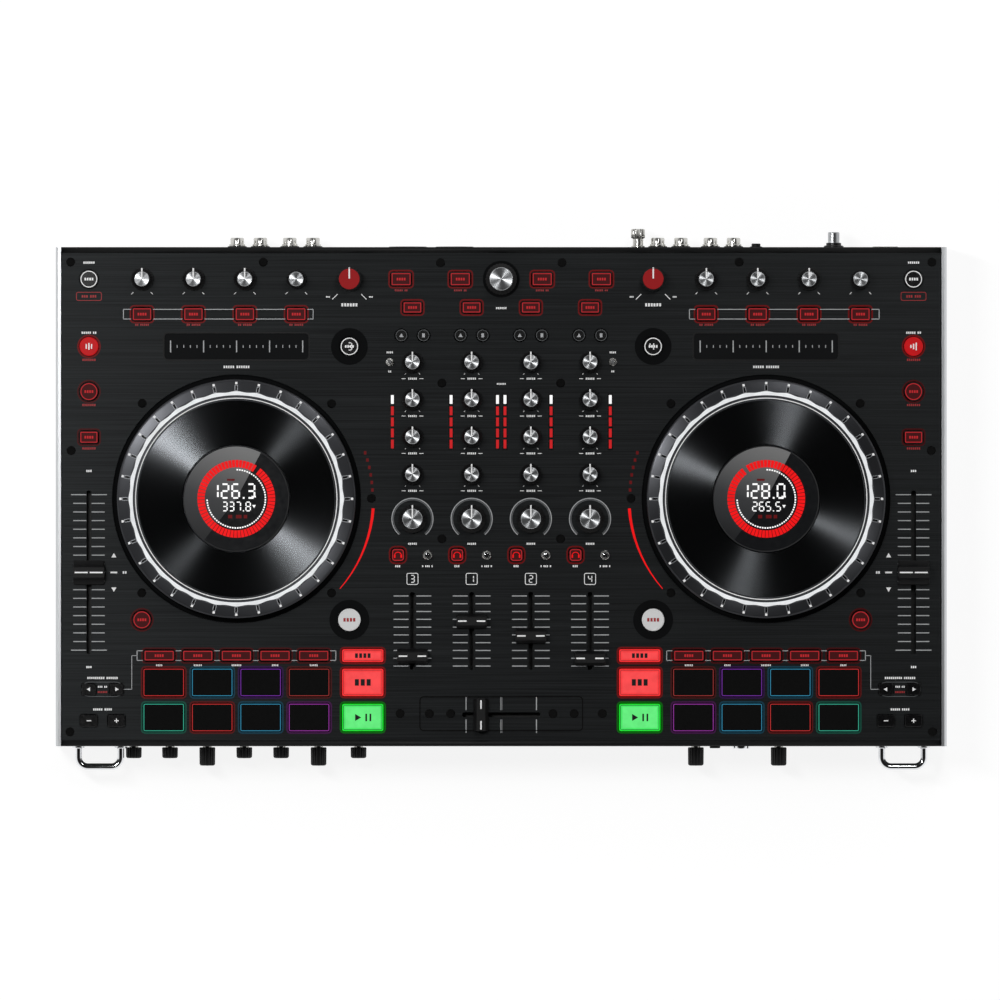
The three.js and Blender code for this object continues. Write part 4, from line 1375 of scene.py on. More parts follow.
@dataclass
class ButtonField:
    """The caps over one keymat, with the keymat's hidden sheet below them."""

    node: str
    caps: list[Cap]

    def build(self) -> None:
        """Builds the sheet and the caps."""
        self.sheet()
        buttons, pads = Shape(), Shape()
        for cap in self.caps:
            self.cap(pads if cap.style == Style.PAD else buttons, cap)
        install(buttons.make(f"{self.node}_buttons"), self.node, "silicone")
        if pads.points:
            install(pads.make(f"{self.node}_pads"), self.node, "silicone")

    def sheet(self) -> None:
        """The CAD keymat, cut off just under the panel, where the caps take over."""
        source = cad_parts[self.node].data
        cut = bmesh.new()
        cut.from_mesh(source)
        bmesh.ops.remove_doubles(cut, verts=cut.verts, dist=1e-6)
        level = to_world(0, 0, -1.4)
        everything = [*cut.verts, *cut.edges, *cut.faces]
        bmesh.ops.bisect_plane(
            cut, geom=everything, plane_co=level, plane_no=(0, 0, 1), clear_outer=True
        )
        bmesh.ops.holes_fill(cut, edges=[edge for edge in cut.edges if edge.is_boundary])
        bmesh.ops.recalc_face_normals(cut, faces=cut.faces)
        mesh = bpy.data.meshes.new(f"{self.node}_sheet")
        cut.to_mesh(mesh)
        cut.free()
        mesh.materials.clear()
        mesh.materials.append(MAT_SILICONE.material())
        mesh.polygons.foreach_set("material_index", [0] * len(mesh.polygons))
        install(finish_mesh(mesh, f"{self.node}_sheet"), self.node, "silicone", self.node)

    def cap(self, shape: Shape, cap: Cap) -> None:
        """One cap with its lit edge and its mark.

        Args:
            shape: The shape that it is added to.
            cap: The cap.
        """
        outline, top = cap.outline, BUTTON_TOP
        x, y = outline.x, outline.y
        low = -1.35
        if cap.style == Style.PAD:
            top = PAD_TOP
            steps = [(0, low), (0, top - 0.7), (0.25, top - 0.3), (0.7, top - 0.1, cap.glow)]
            steps += [(1.0, top - 0.25), (1.4, top), (2.4, top + 0.05)]
            shape.tower(outline, steps, PAD_SILICONE)
            return
        if cap.style in (Style.LIT, Style.LIT_ROUND):
            body = ROUND_RED if cap.style == Style.LIT_ROUND else cap.glow
            steps = [(0, low), (0, top - 0.5), (0.5, top)]
            if cap.style == Style.LIT:
                # A diffuser is brightest in its middle, over its lamp.
                paler = CORE_GREENS if body is LIT_GREEN else CORE_REDS
                steps += [(1.2 + 1.0 * i, top, finish) for i, finish in enumerate(paler)]
            shape.tower(outline, steps, body)
            if cap.style == Style.LIT:
                line = Outline(x, y, outline.width - 1.6, outline.height - 1.6, 1.0)
                line_finish = RED_INK if body is LIT_RED else BLACK_ABS
                shape.frame(line, 0.35, top, top + 0.04, line_finish)
        elif cap.style == Style.WHITE:
            shape.tower(
                outline, [(0, low), (0, top - 0.4), (0.6, top), (1.2, top - 0.15)], WHITE_CAP
            )
        elif cap.style in (Style.FRAMED, Style.ROUND):
            shape.tower(
                outline, [(0, low), (0, top - 0.4), (0.4, top), (1.0, top, DARK_RED)], BLACK_GLOSS
            )
        else:
            shape.tower(outline, [(0, low), (0, top - 0.4), (0.4, top)], BLACK_GLOSS)
        if cap.style in (Style.FRAMED, Style.ROUND):
            shape.frame(outline.inner(0.75), 0.5, top, top + 0.06, FRAME_RED)
        elif cap.style == Style.RINGED:
            shape.frame(outline.inner(0.5), 0.6, top, top + 0.06, WHITE_INK)
        elif cap.style == Style.SMALL:
            shape.frame(outline.inner(0.4), 0.3, top, top + 0.06, MARK_GREY)
        self.mark(shape, cap, x, y, top + (0.0 if cap.style != Style.WHITE else -0.15))

    @staticmethod
    def assign_mark(shape: Shape, x: float, y: float, z: float) -> None:
        """A triangle on the left one of each pair of assign buttons and a square on the right one.

        Args:
            shape: The shape that it is added to.
            x: The x of its middle.
            y: The y of its middle.
            z: The height of the cap's top.
        """
        if (x % 38) > 19:
            shape.bar((x, y - 1.3), (x, y + 1.3), 1.7, z, z + INK_THICKNESS, GREY_INK)
        else:
            triangle(shape, x, y - 0.3, 1.6, 90, z, GREY_INK)

    @staticmethod
    def mark(shape: Shape, cap: Cap, x: float, y: float, z: float) -> None:
        """The mark on top of a cap.

        Args:
            shape: The shape that it is added to.
            cap: The cap.
            x: The x of the cap's middle.
            y: The y of the cap's middle.
            z: The height of the cap's top.
        """
        dark = BLACK_ABS
        if cap.mark == Mark.WORD:
            finish = {Style.WHITE: RED_INK, Style.RINGED: WHITE_INK}.get(cap.style, FRAME_RED)
            if cap.style == Style.SMALL:
                ButtonField.assign_mark(shape, x, y, z)
            else:
                word(shape, x, y, (4,), 2.3 if cap.style == Style.WHITE else 1.7, z, finish)
        elif cap.mark == Mark.HEADPHONES:
            centred = Shape((x, y - 0.4))
            centred.arc(2.2, (0.5, 0.5), 0, 180, z, z + INK_THICKNESS, cap.glow)
            for side in (-1, 1):
                centred.bar(
                    (x + side * 2.1, y - 1.8),
                    (x + side * 2.1, y + 0.1),
                    1.0,
                    z,
                    z + THICK_INK,
                    cap.glow,
                )
            shape.join(centred)
        elif cap.mark in (Mark.TOUCH, Mark.FILTER):
            for i in range(-1, 2):
                length = 2.2 - abs(i) * 0.7 if cap.mark == Mark.TOUCH else 1.0 + (i + 1) * 0.7
                shape.bar(
                    (x + i * 1.7, y - length),
                    (x + i * 1.7, y + length),
                    0.8,
                    z,
                    z + THICK_INK,
                    WHITE_INK,
                )
        elif cap.mark == Mark.SYNC:
            word(shape, x, y, (4,), 3.0, z, dark)
        elif cap.mark == Mark.CUE:
            word(shape, x, y, (3,), 4.2, z, dark)
        elif cap.mark == Mark.PLAY:
            triangle(shape, x - 3.6, y, 2.6, 0, z, dark)
            for at in (2.2, 4.9):
                shape.bar((x + at, y - 2.4), (x + at, y + 2.4), 1.1, z, z + INK_THICKNESS, dark)
        elif cap.mark in (Mark.LEFT, Mark.RIGHT):
            triangle(shape, x, y, 1.5, 180 if cap.mark == Mark.LEFT else 0, z, WHITE_INK)
        elif cap.mark in (Mark.MINUS, Mark.PLUS):
            shape.bar((x - 1.4, y), (x + 1.4, y), 0.6, z, z + INK_THICKNESS, WHITE_INK)
            if cap.mark == Mark.PLUS:
                shape.bar((x, y - 1.4), (x, y + 1.4), 0.6, z, z + INK_THICKNESS * 1.2, WHITE_INK)


@dataclass
class Knob:
    """A rotary knob: a shaft, a fluted skirt and a turned metal cap with a pointer."""

    node: str
    skirt: float
    cap: float
    height: float
    flutes: int = 24
    body: Finish = BLACK_ABS
    top: Finish = CAP_METAL
    pointer: bool = True
    lift: float = 0.8

    def build(self) -> None:
        """Builds the knob about the axis of its CAD node."""
        x, y = middle_of(self.node)
        low = box_of(self.node)[0].z
        shape = Shape((x, y))
        shape.turned([(3.0, low), (3.0, self.lift + 0.2)], self.body, 16)
        waist = self.skirt * 0.8
        shape.turned(
            [
                (self.skirt - 0.5, self.lift),
                (self.skirt, self.lift + 0.4),
                (self.skirt, self.lift + 1.6),
                (self.skirt - 0.6, self.lift + 2.2),
                (waist, self.lift + 3.4),
                (waist - 0.4, self.height - 1.2),
                (waist - 0.9, self.height - 0.5),
                (self.cap + 0.3, self.height - 0.45),
            ],
            self.body,
            self.flutes * 4,
            self.flutes,
            0.35,
        )
        shape.turned(
            [
                (self.cap, self.height - 0.6),
                (self.cap, self.height - 0.2),
                (self.cap - 0.3, self.height),
            ],
            self.top,
        )
        if self.pointer:
            shape.bar(
                (x, y + 0.3),
                (x, y + self.cap - 0.1),
                0.9,
                self.height,
                self.height + 0.08,
                WHITE_INK,
            )
            shape.bar(
                (x, y + self.cap + 0.1),
                (x, y + self.skirt - 0.4),
                0.9,
                self.lift + 1.8,
                self.height - 0.35,
                WHITE_INK,
            )
        slot = "red_plastic" if self.top is RED_ABS else "knob_plastic"
        install(shape.make(f"{self.node}_turned"), self.node, slot, self.node)


@dataclass
class Fader:
    """A fader cap on its stem: waisted, with a white line across it."""

    node: str
    across: float
    along: float
    height: float
    ridge: float = 5.6
    sideways: bool = False
    pitch: bool = False

    def build(self) -> None:
        """Builds the cap about the middle of its CAD node."""
        x, y = middle_of(self.node)
        low = box_of(self.node)[0].z
        shape = Shape((0, 0))
        half = self.along / 2
        shape.tower(Outline(0, 0, 1.6, 4.0, 0.3), [(0, low), (0, 1.6)], NICKEL)
        base = Outline(0, 0, self.across, self.along, 1.0)
        squeeze = half - self.ridge / 2
        shape.loft(
            [
                self.squeezed(base, 0, 1.0),
                self.squeezed(base, 0, 2.2),
                self.squeezed(base, squeeze * 0.55, self.height * 0.45),
                self.squeezed(base, squeeze, self.height - 1.4),
                self.squeezed(base, squeeze, self.height - 0.5),
                self.squeezed(base, squeeze + 0.5, self.height),
            ],
            [BLACK_ABS] * 5,
        )
        for end in (-1, 1):
            edge = self.across / 2 - 1.0
            reach = 0.6 if self.pitch else edge - 5.5
            start = (end * reach, 0.0)
            shape.bar(start, (end * edge, 0), 0.9, self.height, self.height + 0.08, WHITE_INK)
        turn = Matrix.Rotation(QUARTER, 4, "Z") if self.sideways else Matrix.Identity(4)
        placed = Matrix.Translation((x, y, 0)) @ turn
        install(shape.make(f"{self.node}_cap", placed), self.node, "fader_plastic", self.node)

    @staticmethod
    def squeezed(outline: Outline, amount: float, z: float) -> Ring:
        """The cap's outline at height z, narrowed along the travel."""
        half = outline.height / 2
        return [(px, py * (half - amount) / half, z) for px, py, _ in outline.ring(0, z)]


NOTCHES = 32  # round a jog wheel
DISPLAY_TOP = 10.9


@dataclass
class Jog:
    """A jog wheel: platter with a notched ring, grooved plate and a still display."""

    side: Side
    tempo: str
    lower: str
    gap_at: float  # degrees, where the red ring is open
    rim: float = 76.7
    rim_top: float = 11.0
    plate_edge: float = 63.6

    def build(self) -> None:
        """Builds the wheel's pieces."""
        word_of_side = self.side.word
        self.x, self.y = middle_of(f"{word_of_side}_jog_wheel")
        self.platter(f"{word_of_side}_jog")
        self.plate(f"{word_of_side}_jog")
        self.display()

    def platter(self, body: str) -> None:
        """The turned platter, its notches and its dots.

        Args:
            body: The body that it moves with.
        """
        shape = Shape((self.x, self.y))
        top, rim = self.rim_top, self.rim
        shape.ringed(
            [
                (rim - 0.8, 1.0),
                (rim, 1.8),
                (rim, top - 1.8),
                (rim - 0.3, top - 0.9),
                (rim - 0.9, top - 0.45),
                (rim - 1.8, top - 0.25),
                (69.4, top - 0.1),
                (68.8, top - 0.6),
                (68.8, 7.0),
                (10.8, 7.0),
                (10.8, -6.0),
                (22.0, -6.0),
                (22.0, 1.0),
            ],
            RING_METAL,
            128,
        )
        # The lip has a flat top, with a small scallop at each notch. Its white glow is a painted
        # highlight on silver metal, not a lamp.
        lip = Outline.circle(self.x, self.y, 69.1, 256, NOTCHES, 0.7)
        inside = Outline.circle(self.x, self.y, 66.5, 256)
        rings = [
            lip.ring(0, 7.0),
            lip.ring(0, top - 0.3),
            lip.ring(0.25, top - 0.1),
            inside.ring(-0.2, top - 0.1),
            inside.ring(0, top - 0.4),
            inside.ring(0, 7.0),
        ]
        shape.loft(rings, [LIP_PAINTED_HIGHLIGHT] * 6, closed=True)
        shape.ringed([(64.9, 7.05), (64.9, 9.9), (64.3, 9.8), (64.3, 7.05)], WHITE_INK, 128)
        install(shape.make(f"{body}_platter_turned"), body, "jog_metal", f"{body}_wheel")
        centre = (self.x, self.y, top - 0.2)
        for name, finish, radius, size in (
            ("slots", BLACK_GLOSS, 71.2, (3.2, 1.3, 0.4)),
            ("slot_edges", SLOT_EDGE, 71.2, (3.9, 2.1, 0.3)),
            ("dots", WHITE_INK, 74.3, (1.5, 1.5, 0.36)),
        ):
            values = {"Count": NOTCHES, "Radius": radius, "Angle": TURN / NOTCHES}
            blocks = ring_repeater(finish).bake(
                f"{body}_{name}", Centre=centre, Size=size, **values
            )
            install(blocks, body, "jog_metal")

    def plate(self, body: str) -> None:
        """The grooved plate.

        Args:
            body: The body that it moves with.
        """
        shape = Shape((self.x, self.y))
        shape.ringed(
            [
                (self.plate_edge, 7.3),
                (self.plate_edge, 9.7),
                (self.plate_edge - 0.4, 10.0),
                (34.9, 10.0),
                (34.6, 9.8),
                (34.6, 7.3),
            ],
            VINYL,
            128,
        )
        install(shape.make(f"{body}_plate_grooved"), body, "jog_vinyl")

    def display(self) -> None:
        """The still display: window, lit rings and digits."""
        node = f"{self.side.word}_jog_display"
        shape = Shape((self.x, self.y))
        low = box_of(node)[0].z
        shape.turned([(10.0, low), (10.0, 7.9)], BLACK_ABS, 32)
        shape.turned(
            [(33.6, 7.8), (34.0, 8.2), (34.0, 10.4), (33.4, DISPLAY_TOP)], DISPLAY_GLASS, 96
        )
        top = DISPLAY_TOP
        # A pale sector over the window: a painted reflection.
        shape.arc(16.9, (33.2, 33.2), 62, 170, top, top + 0.04, WINDOW_PAINTED_REFLECTION)
        segment = 5.625
        for i in range(63):
            start = self.gap_at + 2.8 + i * segment
            shape.arc(
                22.6, (4.7, 4.7), start + 0.4, segment - 0.8, top + 0.05, top + 0.12, GLOW_RED
            )
        for i in range(54):
            shape.arc(18.7, (0.9, 0.9), 90 - i * 5 - 3.6, 3.2, top + 0.05, top + 0.12, GLOW_WHITE)
        digits(shape, self.tempo, self.x - 2.2, self.y + 5.0, 8.8, top + 0.05, GLOW_WHITE)
        digits(shape, self.lower, self.x + 0.2, self.y - 4.9, 5.6, top + 0.05, GLOW_WHITE)
        word(shape, self.x + 11.2, self.y + 1.4, (3,), 1.1, top + 0.05, GLOW_WHITE)
        triangle(shape, self.x + 11.4, self.y - 4.6, 1.3, -90, top + 0.05, GLOW_WHITE)
        for i, width in enumerate((2.6, 3.6, 2.2)):
            at = self.x - 5.2 + i * 5.0
            shape.bar(
                (at, self.y - 11.4),
                (at + width, self.y - 11.4),
                2.2,
                top + 0.05,
                top + 0.1,
                DEEP_RED,
            )
        shape.bar(
            (self.x - 6.0, self.y + 12.2),
            (self.x - 1.0, self.y + 12.2),
            1.2,
            top + 0.05,
            top + 0.1,
            DEEP_RED,
        )
        install(shape.make(f"{node}_window"), "case", "display_window", node)


@dataclass
class TopPanel:
    """The brushed panel with its cut-outs, folded edges, screws, wells and printed marks."""

    caps: list[Cap]
    fold: float = 3.8
    thickness: float = 2.0
    well: float = 79.8

    def build(self) -> None:
        """Builds the plate and everything that is fixed to it."""
        self.plate()
        self.folds()
        self.wells()
        self.halos()
        self.screws()
        self.scales()
        self.fixtures()
        self.white_marks()
        self.red_marks()

    def plate(self) -> None:
        """The plate, filled between its outline and its holes."""
        curve = bpy.data.curves.new("top_panel_plate", "CURVE")
        curve.dimensions = "2D"
        curve.fill_mode = "BOTH"
        bevel = 0.12
        curve.extrude = (self.thickness / 2 - bevel) * MM
        curve.bevel_depth = bevel * MM
        curve.bevel_resolution = 1
        rings = [Outline(0, 0, PANEL_WIDTH - 0.3, PANEL_DEPTH - 2 * self.fold, 0.3).ring(bevel, 0)]
        rings += [cap.outline.ring(-GAP - bevel, 0) for cap in self.caps]
        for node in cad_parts:
            if "_knob" in node:
                rings.append(Outline.circle(*middle_of(node), 4.2, 16).ring(-bevel, 0))
        for outline in self.slots():
            rings.append(outline.ring(-bevel, 0))
        for side in Side:
            rings.append(
                Outline.circle(side.value * PLAN.jog_column, PLAN.jog_row, self.well, 128).ring(
                    -bevel, 0
                )
            )
        for ring in rings:
            spline = curve.splines.new("POLY")
            spline.points.add(len(ring) - 1)
            for point, (x, y, _) in zip(spline.points, ring):
                point.co = (x * MM, y * MM, 0, 1)
            spline.use_cyclic_u = True
        mesh = evaluated_mesh(bpy.data.objects.new("top_panel_carrier", curve))
        lay_uvs(mesh, [(vertex.co.x / MM, vertex.co.y / MM) for vertex in mesh.vertices])
        mesh.transform(Matrix.Translation(to_world(0, 0, -self.thickness / 2)))
        mesh.materials.clear()
        mesh.materials.append(PANEL_STEEL.material())
        install(finish_mesh(mesh, "top_panel_plate"), "case", "brushed_panel", "top_panel")

    def slots(self) -> list[Outline]:
        """Outlines of the faders' slots.

        Returns:
            The outlines.
        """
        slots = []
        for x in PLAN.channel_columns:
            slots.append(Outline(x, PLAN.channel_row, 3.0, 49.8, 1.0))
        for side in Side:
            slots.append(Outline(side.value * PLAN.side_column, PLAN.pitch_row, 3.0, 104.8, 1.0))
        slots.append(Outline(0, PLAN.cross_row, 49.8, 3.0, 1.0))
        return slots

    def folds(self) -> None:
        """The panel's front and rear edges, bent a little downwards."""
        shape = Shape()
        half_width, edge = PANEL_WIDTH / 2 - 0.15, PANEL_DEPTH / 2
        for sign in (-1, 1):
            section = [
                (edge - self.fold, -2.0),
                (edge - self.fold, -0.05),
                (edge - 0.7, -0.35),
                (edge, -1.0),
                (edge, -2.0),
            ]
            rings = [[(x, sign * y, z) for y, z in section] for x in (-half_width, half_width)]
            if sign < 0:
                rings.reverse()
            # Near black, darker than the panel's top: painted shade on the bends.
            shape.loft(rings, [FOLD_PAINTED_SHADE])
        install(shape.make("panel_folded_edges"), "case", "brushed_panel")

    def wells(self) -> None:
        """The sunken floors round the jog wheels and dark rings round single buttons. The floors
        are near black: painted shade in the gap round each platter.
        """
        for side in Side:
            well = Shape((side.value * PLAN.jog_column, PLAN.jog_row))
            rim = self.well
            # Near black where the gap round the platter shows: painted shade.
            well.ringed(
                [
                    (rim, -1.4),
                    (rim, -0.02),
                    (rim - 0.3, -0.02),
                    (rim - 0.5, -0.9),
                    (25.0, -0.9),
                    (25.0, -1.4),
                ],
                BLACK_RECESS_AND_SHADE,
                128,
            )
            install(well.make(f"{side.word}_jog_well"), "case", "knob_plastic")
        shape = Shape()
        spots = [
            (s.value * PLAN.deck_column, row, r)
            for s in Side
            for row, r in ((PLAN.deck_row, 11.8), (PLAN.shift_row, 12.8))
        ]
        spots.append((0.0, PLAN.top_row, 11.8))
        for x, y, radius in spots:
            inner = 4.6 if x == 0 else 7.75 if radius > 12 else 6.65
            shape.frame(Outline.circle(x, y, radius, 48), radius - inner, 0.02, 0.25, BLACK_RECESS_AND_SHADE)
        install(shape.make("button_surrounds"), "case", "knob_plastic")

    def halos(self) -> None:
        """The light that lit buttons spill on the panel round them."""
        shape = Shape()
        for cap in self.caps:
            if cap.style in LIT_STYLES:
                spilt = replace(cap.glow, name=f"{cap.glow.name} spilt on the panel", strength=0.05)
                shape.frame(cap.outline.inner(-1.5), 1.05, 0.0, 0.02, spilt)
        install(shape.make("spilt_light"), "case", "brushed_panel")

    def screws(self) -> None:
        """Cross-head screws on the panel."""
        half = [
            (-276.5, 150.6),
            (-152.8, 150.6),
            (-39.0, 150.2),
            (-230.5, 59.9),
            (-108.9, 59.7),
            (-276.1, 29.6),
            (-230.8, -61.8),
            (-108.9, -61.8),
            (-83.3, -1.1),
            (-276.9, -151.0),
            (-38.1, 72.9),
            (-38.1, -27.1),
            (-64.9, SCREW_ROW),
        ]
        places = half + [(-x, y) for x, y in half]
        places += [(x, SCREW_ROW) for x in (-46.2, -32.5, 33.2, 46.8)]  # round the crossfader
        screws = screw_repeater(SCREW_BLACK).bake(
            "panel_screws", places, Radius=2.9, Height=1.1, Slot=0.7
        )
        install(screws, "case", "brushed_panel")

    def scales(self) -> None:
        """Tick marks beside the faders and on the touch strips."""
        rows = row_repeater(GREY_INK)
        pieces = []

        def ticks(x: float, y: float, count: int, step: Point, size: Point) -> None:
            """One row of ticks.

            Args:
                x: The x of the first.
                y: The y of the first.
                count: How many.
                step: From one to the next.
                size: How wide and how high each is.
            """
            pieces.append(
                rows.bake(
                    "ticks", Count=count, Start=(x, y, 0.03), Step=(*step, 0.0), Size=(*size, 0.06)
                )
            )

        for side in Side:
            x = side.value * PLAN.side_column
            for way in (-1, 1):
                low, pitch = PLAN.pitch_row - 49.9, 5.545
                ticks(x + way * 5.9, low + pitch, 17, (0, pitch), (8.4, 0.6))
                ticks(x + way * 6.6, low, 2, (0, 18 * pitch), (9.8, 0.6))
            middle = side.value * PLAN.jog_column
            ticks(middle - 42.3, PLAN.deck_row, 5, (21.2, 0), (0.7, 7.6))
            for i in range(4):
                ticks(middle - 42.3 + i * 21.2 + 4.24, PLAN.deck_row, 4, (4.24, 0), (0.5, 1.7))
        for x in PLAN.channel_columns:
            for offset in (-7.3, 7.3):
                ticks(x + offset, PLAN.channel_row - 22.5, 10, (0, 5.0), (9.6, 0.6))
        for offset in (-7.3, 7.3):
            ticks(-22.6, PLAN.cross_row + offset, 3, (22.6, 0), (0.6, 8.6))
            ticks(0.0, PLAN.cross_row + offset, 1, (1.0, 0), (1.2, 8.6))
        install(merged("printed_scales", pieces), "case", "brushed_panel")

    def fixtures(self) -> None:
        """Touch strips, crossfader plate, level meters, toggles and filter rings."""
        shape = Shape()
        for side in Side:
            middle = side.value * PLAN.jog_column
            strip = Outline(middle, PLAN.deck_row, 94.4, 18.6, 3.0)
            shape.frame(strip, 0.9, -0.02, 0.35, BLACK_ABS)
            shape.tower(
                Outline(middle, PLAN.deck_row, 92.4, 16.6, 2.2),
                [(0, -0.1), (0, 0.0), (0.2, 0.01)],
                STRIP_BLACK,
            )
            self.toggle(shape, side.value * TOGGLE_COLUMN, TOGGLE_ROW, 2.5)
        plate = Outline(0, SCREW_ROW, 105.0, 22.4, 2.6)
        shape.frame(plate, 0.6, 0.0, 0.42, SCREW_BLACK)
        for x in PLAN.channel_columns:
            self.toggle(shape, x + 9.6, PLAN.cue_row, 2.95)
        install(shape.make("panel_fixtures"), "case", "knob_plastic")
        rings = Shape()
        for x in PLAN.channel_columns:
            ring = Shape((x, middle_of("filter_knob_1")[1]))
            ring.arc(13.2, (0.6, 0.6), -50, 280, 0.0, 0.07, GREY_INK)
            rings.join(ring)
            ring = Shape(ring.middle)
            ring.arc(12.3, (0.7, 0.7), -50, 280, 0.0, 0.07, MARK_GREY)
            rings.join(ring)
        install(rings.make("filter_arcs"), "case", "brushed_panel")
        wells = row_repeater(BLACK_GLOSS)
        pieces = []
        for x in PLAN.meters:
            pieces.append(
                wells.bake(
                    "meter",
                    Count=1,
                    Start=(x, 48.0, 0.0),
                    Step=(0.0, 1.0, 0.0),
                    Size=(3.4, 36.6, 0.08),
                )
            )
        for finish, count, start in ((METER_RED, 4, 33.8), (GLOW_WHITE, 1, 62.4)):
            row = row_repeater(finish)
            for x in PLAN.meters:
                size = (1.8, 5.6, 0.16)
                pieces.append(
                    row.bake(
                        "meter",
                        Count=count,
                        Start=(x, start, 0.08),
                        Step=(0.0, 7.1, 0.0),
                        Size=size,
                    )
                )
        install(merged("level_meters", pieces), "case", "display_window")

    @staticmethod
    def toggle(shape: Shape, x: float, y: float, radius: float) -> None:
        """A small toggle switch: a nut, a collar and a round-ended lever.

        Args:
            shape: The shape that it is added to.
            x: The x of its middle.
            y: The y of its middle.
            radius: The radius of its nut.
        """
        shape.tower(Outline.circle(x, y, radius, 24), [(0, 0.0), (0, 1.2), (0.3, 1.5)], NICKEL)
        lever = Outline.circle(x, y, radius * 0.55, 16)
        shape.tower(
            lever, [(0.3, 1.4), (0.2, 5.0), (0, 7.0), (0.3, 7.8), (radius * 0.4, 8.1)], CHROME
        )

    def white_marks(self) -> None:
        """White printed marks: labels, number boxes, brackets and arrows."""
        shape = Shape()
        ink = WHITE_INK
        z = 0.0
        numbers = {-57.0: "3", -19.0: "1", 19.0: "2", 57.0: "4"}
        for x, number in numbers.items():
            shape.frame(
                Outline(x, PLAN.number_row - 1.4, 7.6, 7.6, 1.2), 0.45, z, z + INK_THICKNESS, ink
            )
            digits(shape, number, x + 0.1, PLAN.number_row - 1.4, 4.4, z, ink)
            for row in range(4):
                y = middle_of("gain_knob_1")[1] - 24 * row - 10.6
                for end in (-1, 1):
                    shape.bar(
                        (x + end * 4.4, y), (x + end * 7.0, y), 0.45, z, z + INK_THICKNESS, ink
                    )
                    shape.bar(
                        (x + end * 4.2, y + 3.4),
                        (x + end * 4.9, y + 2.7),
                        0.35,
                        z,
                        z + INK_THICKNESS,
                        ink,
                    )
                word(shape, x, y, (5,), 1.3, z, ink)
            word(shape, x, middle_of("filter_knob_1")[1] - 16.0, (5,), 1.3, z, ink)
            word(shape, x - 9.5, PLAN.cue_row - 7.2, (3,), 1.3, z, ink)
            word(shape, x + 9.6, PLAN.cue_row - 7.2, (1, 3, 1), 1.2, z, ink)
        for side in Side:
            sign = side.value
            column = sign * PLAN.side_column
            for y, lengths in (
                (PLAN.top_row + 10.6, (6,)), (16.5, (3,)), (-109.4, (3,)), (-116.4, (9, 6))
            ):
                word(shape, column if lengths != (9, 6) else sign * 256.0, y, lengths, 1.4, z, ink)
            word(shape, sign * 256.0, -136.6, (5, 4), 1.4, z, ink)
            shape.frame(
                Outline(sign * 256.0, PLAN.parameter_row, 27.0, 9.6, 4.6),
                0.4,
                z,
                z + INK_THICKNESS,
                MARK_GREY,
            )
            word(shape, sign * 256.0, PLAN.parameter_row + 1.6, (3, 2), 1.2, z, ink)
            word(shape, sign * 256.0, PLAN.parameter_row - 1.8, (6,), 1.2, z, RED_INK)
            word(shape, sign * PLAN.deck_column, PLAN.top_row - 16.5, (6,), 2.0, z, ink)
            for end in (-1, 1):
                at = sign * PLAN.deck_column + end * 7.6
                shape.bar(
                    (at, PLAN.top_row - 9.6),
                    (at + end * 3.4, PLAN.top_row - 13.0),
                    0.5,
                    z,
                    z + INK_THICKNESS,
                    ink,
                )
                word(shape, at + end * 6.2, PLAN.top_row - 11.4, (3,), 1.0, z, ink)
            word(shape, sign * PLAN.jog_column, 83.3, (5, 6), 1.6, z, ink)
            digits(
                shape,
                "3" if sign < 0 else "4",
                sign * (PLAN.deck_column - 0.6) - 0.2,
                PLAN.deck_row,
                4.6,
                1.66,
                ink,
            )
            for i, column in enumerate(PLAN.mode_columns):
                word(shape, sign * column, PLAN.mode_row - 6.2, (4 + i % 3,), 1.2, z, ink)
            for dy, angle in ((10.6, 90), (-10.6, 270)):
                triangle(shape, sign * 248.7, PLAN.pitch_row + dy, 1.9, angle, z, ink)
            shape.bar(
                (sign * 248.7 - 2.2, PLAN.pitch_row),
                (sign * 248.7 + 2.2, PLAN.pitch_row),
                1.1,
                z,
                z + INK_THICKNESS,
                ink,
            )
            word(shape, sign * 241.8, PLAN.pitch_row, (2,), 1.6, z, ink)
            for column in PLAN.effect_columns:
                for end in (-1, 1):
                    start = (sign * column + end * 5.6, PLAN.top_row - 8.4)
                    shape.bar(
                        start,
                        (start[0] + end * 1.3, start[1] - 1.3),
                        0.4,
                        z,
                        z + INK_THICKNESS,
                        ink,
                    )
            word(shape, sign * TOGGLE_COLUMN, 92.6, (4,), 1.2, z, ink)
            word(shape, sign * TOGGLE_COLUMN, 80.4, (2,), 1.2, z, ink)
        word(shape, 0, PLAN.top_row - 18.6, (6,), 1.3, z, ink)
        word(shape, 0, 72.4, (6,), 1.1, z, ink)
        install(shape.make("white_printing"), "case", "brushed_panel")

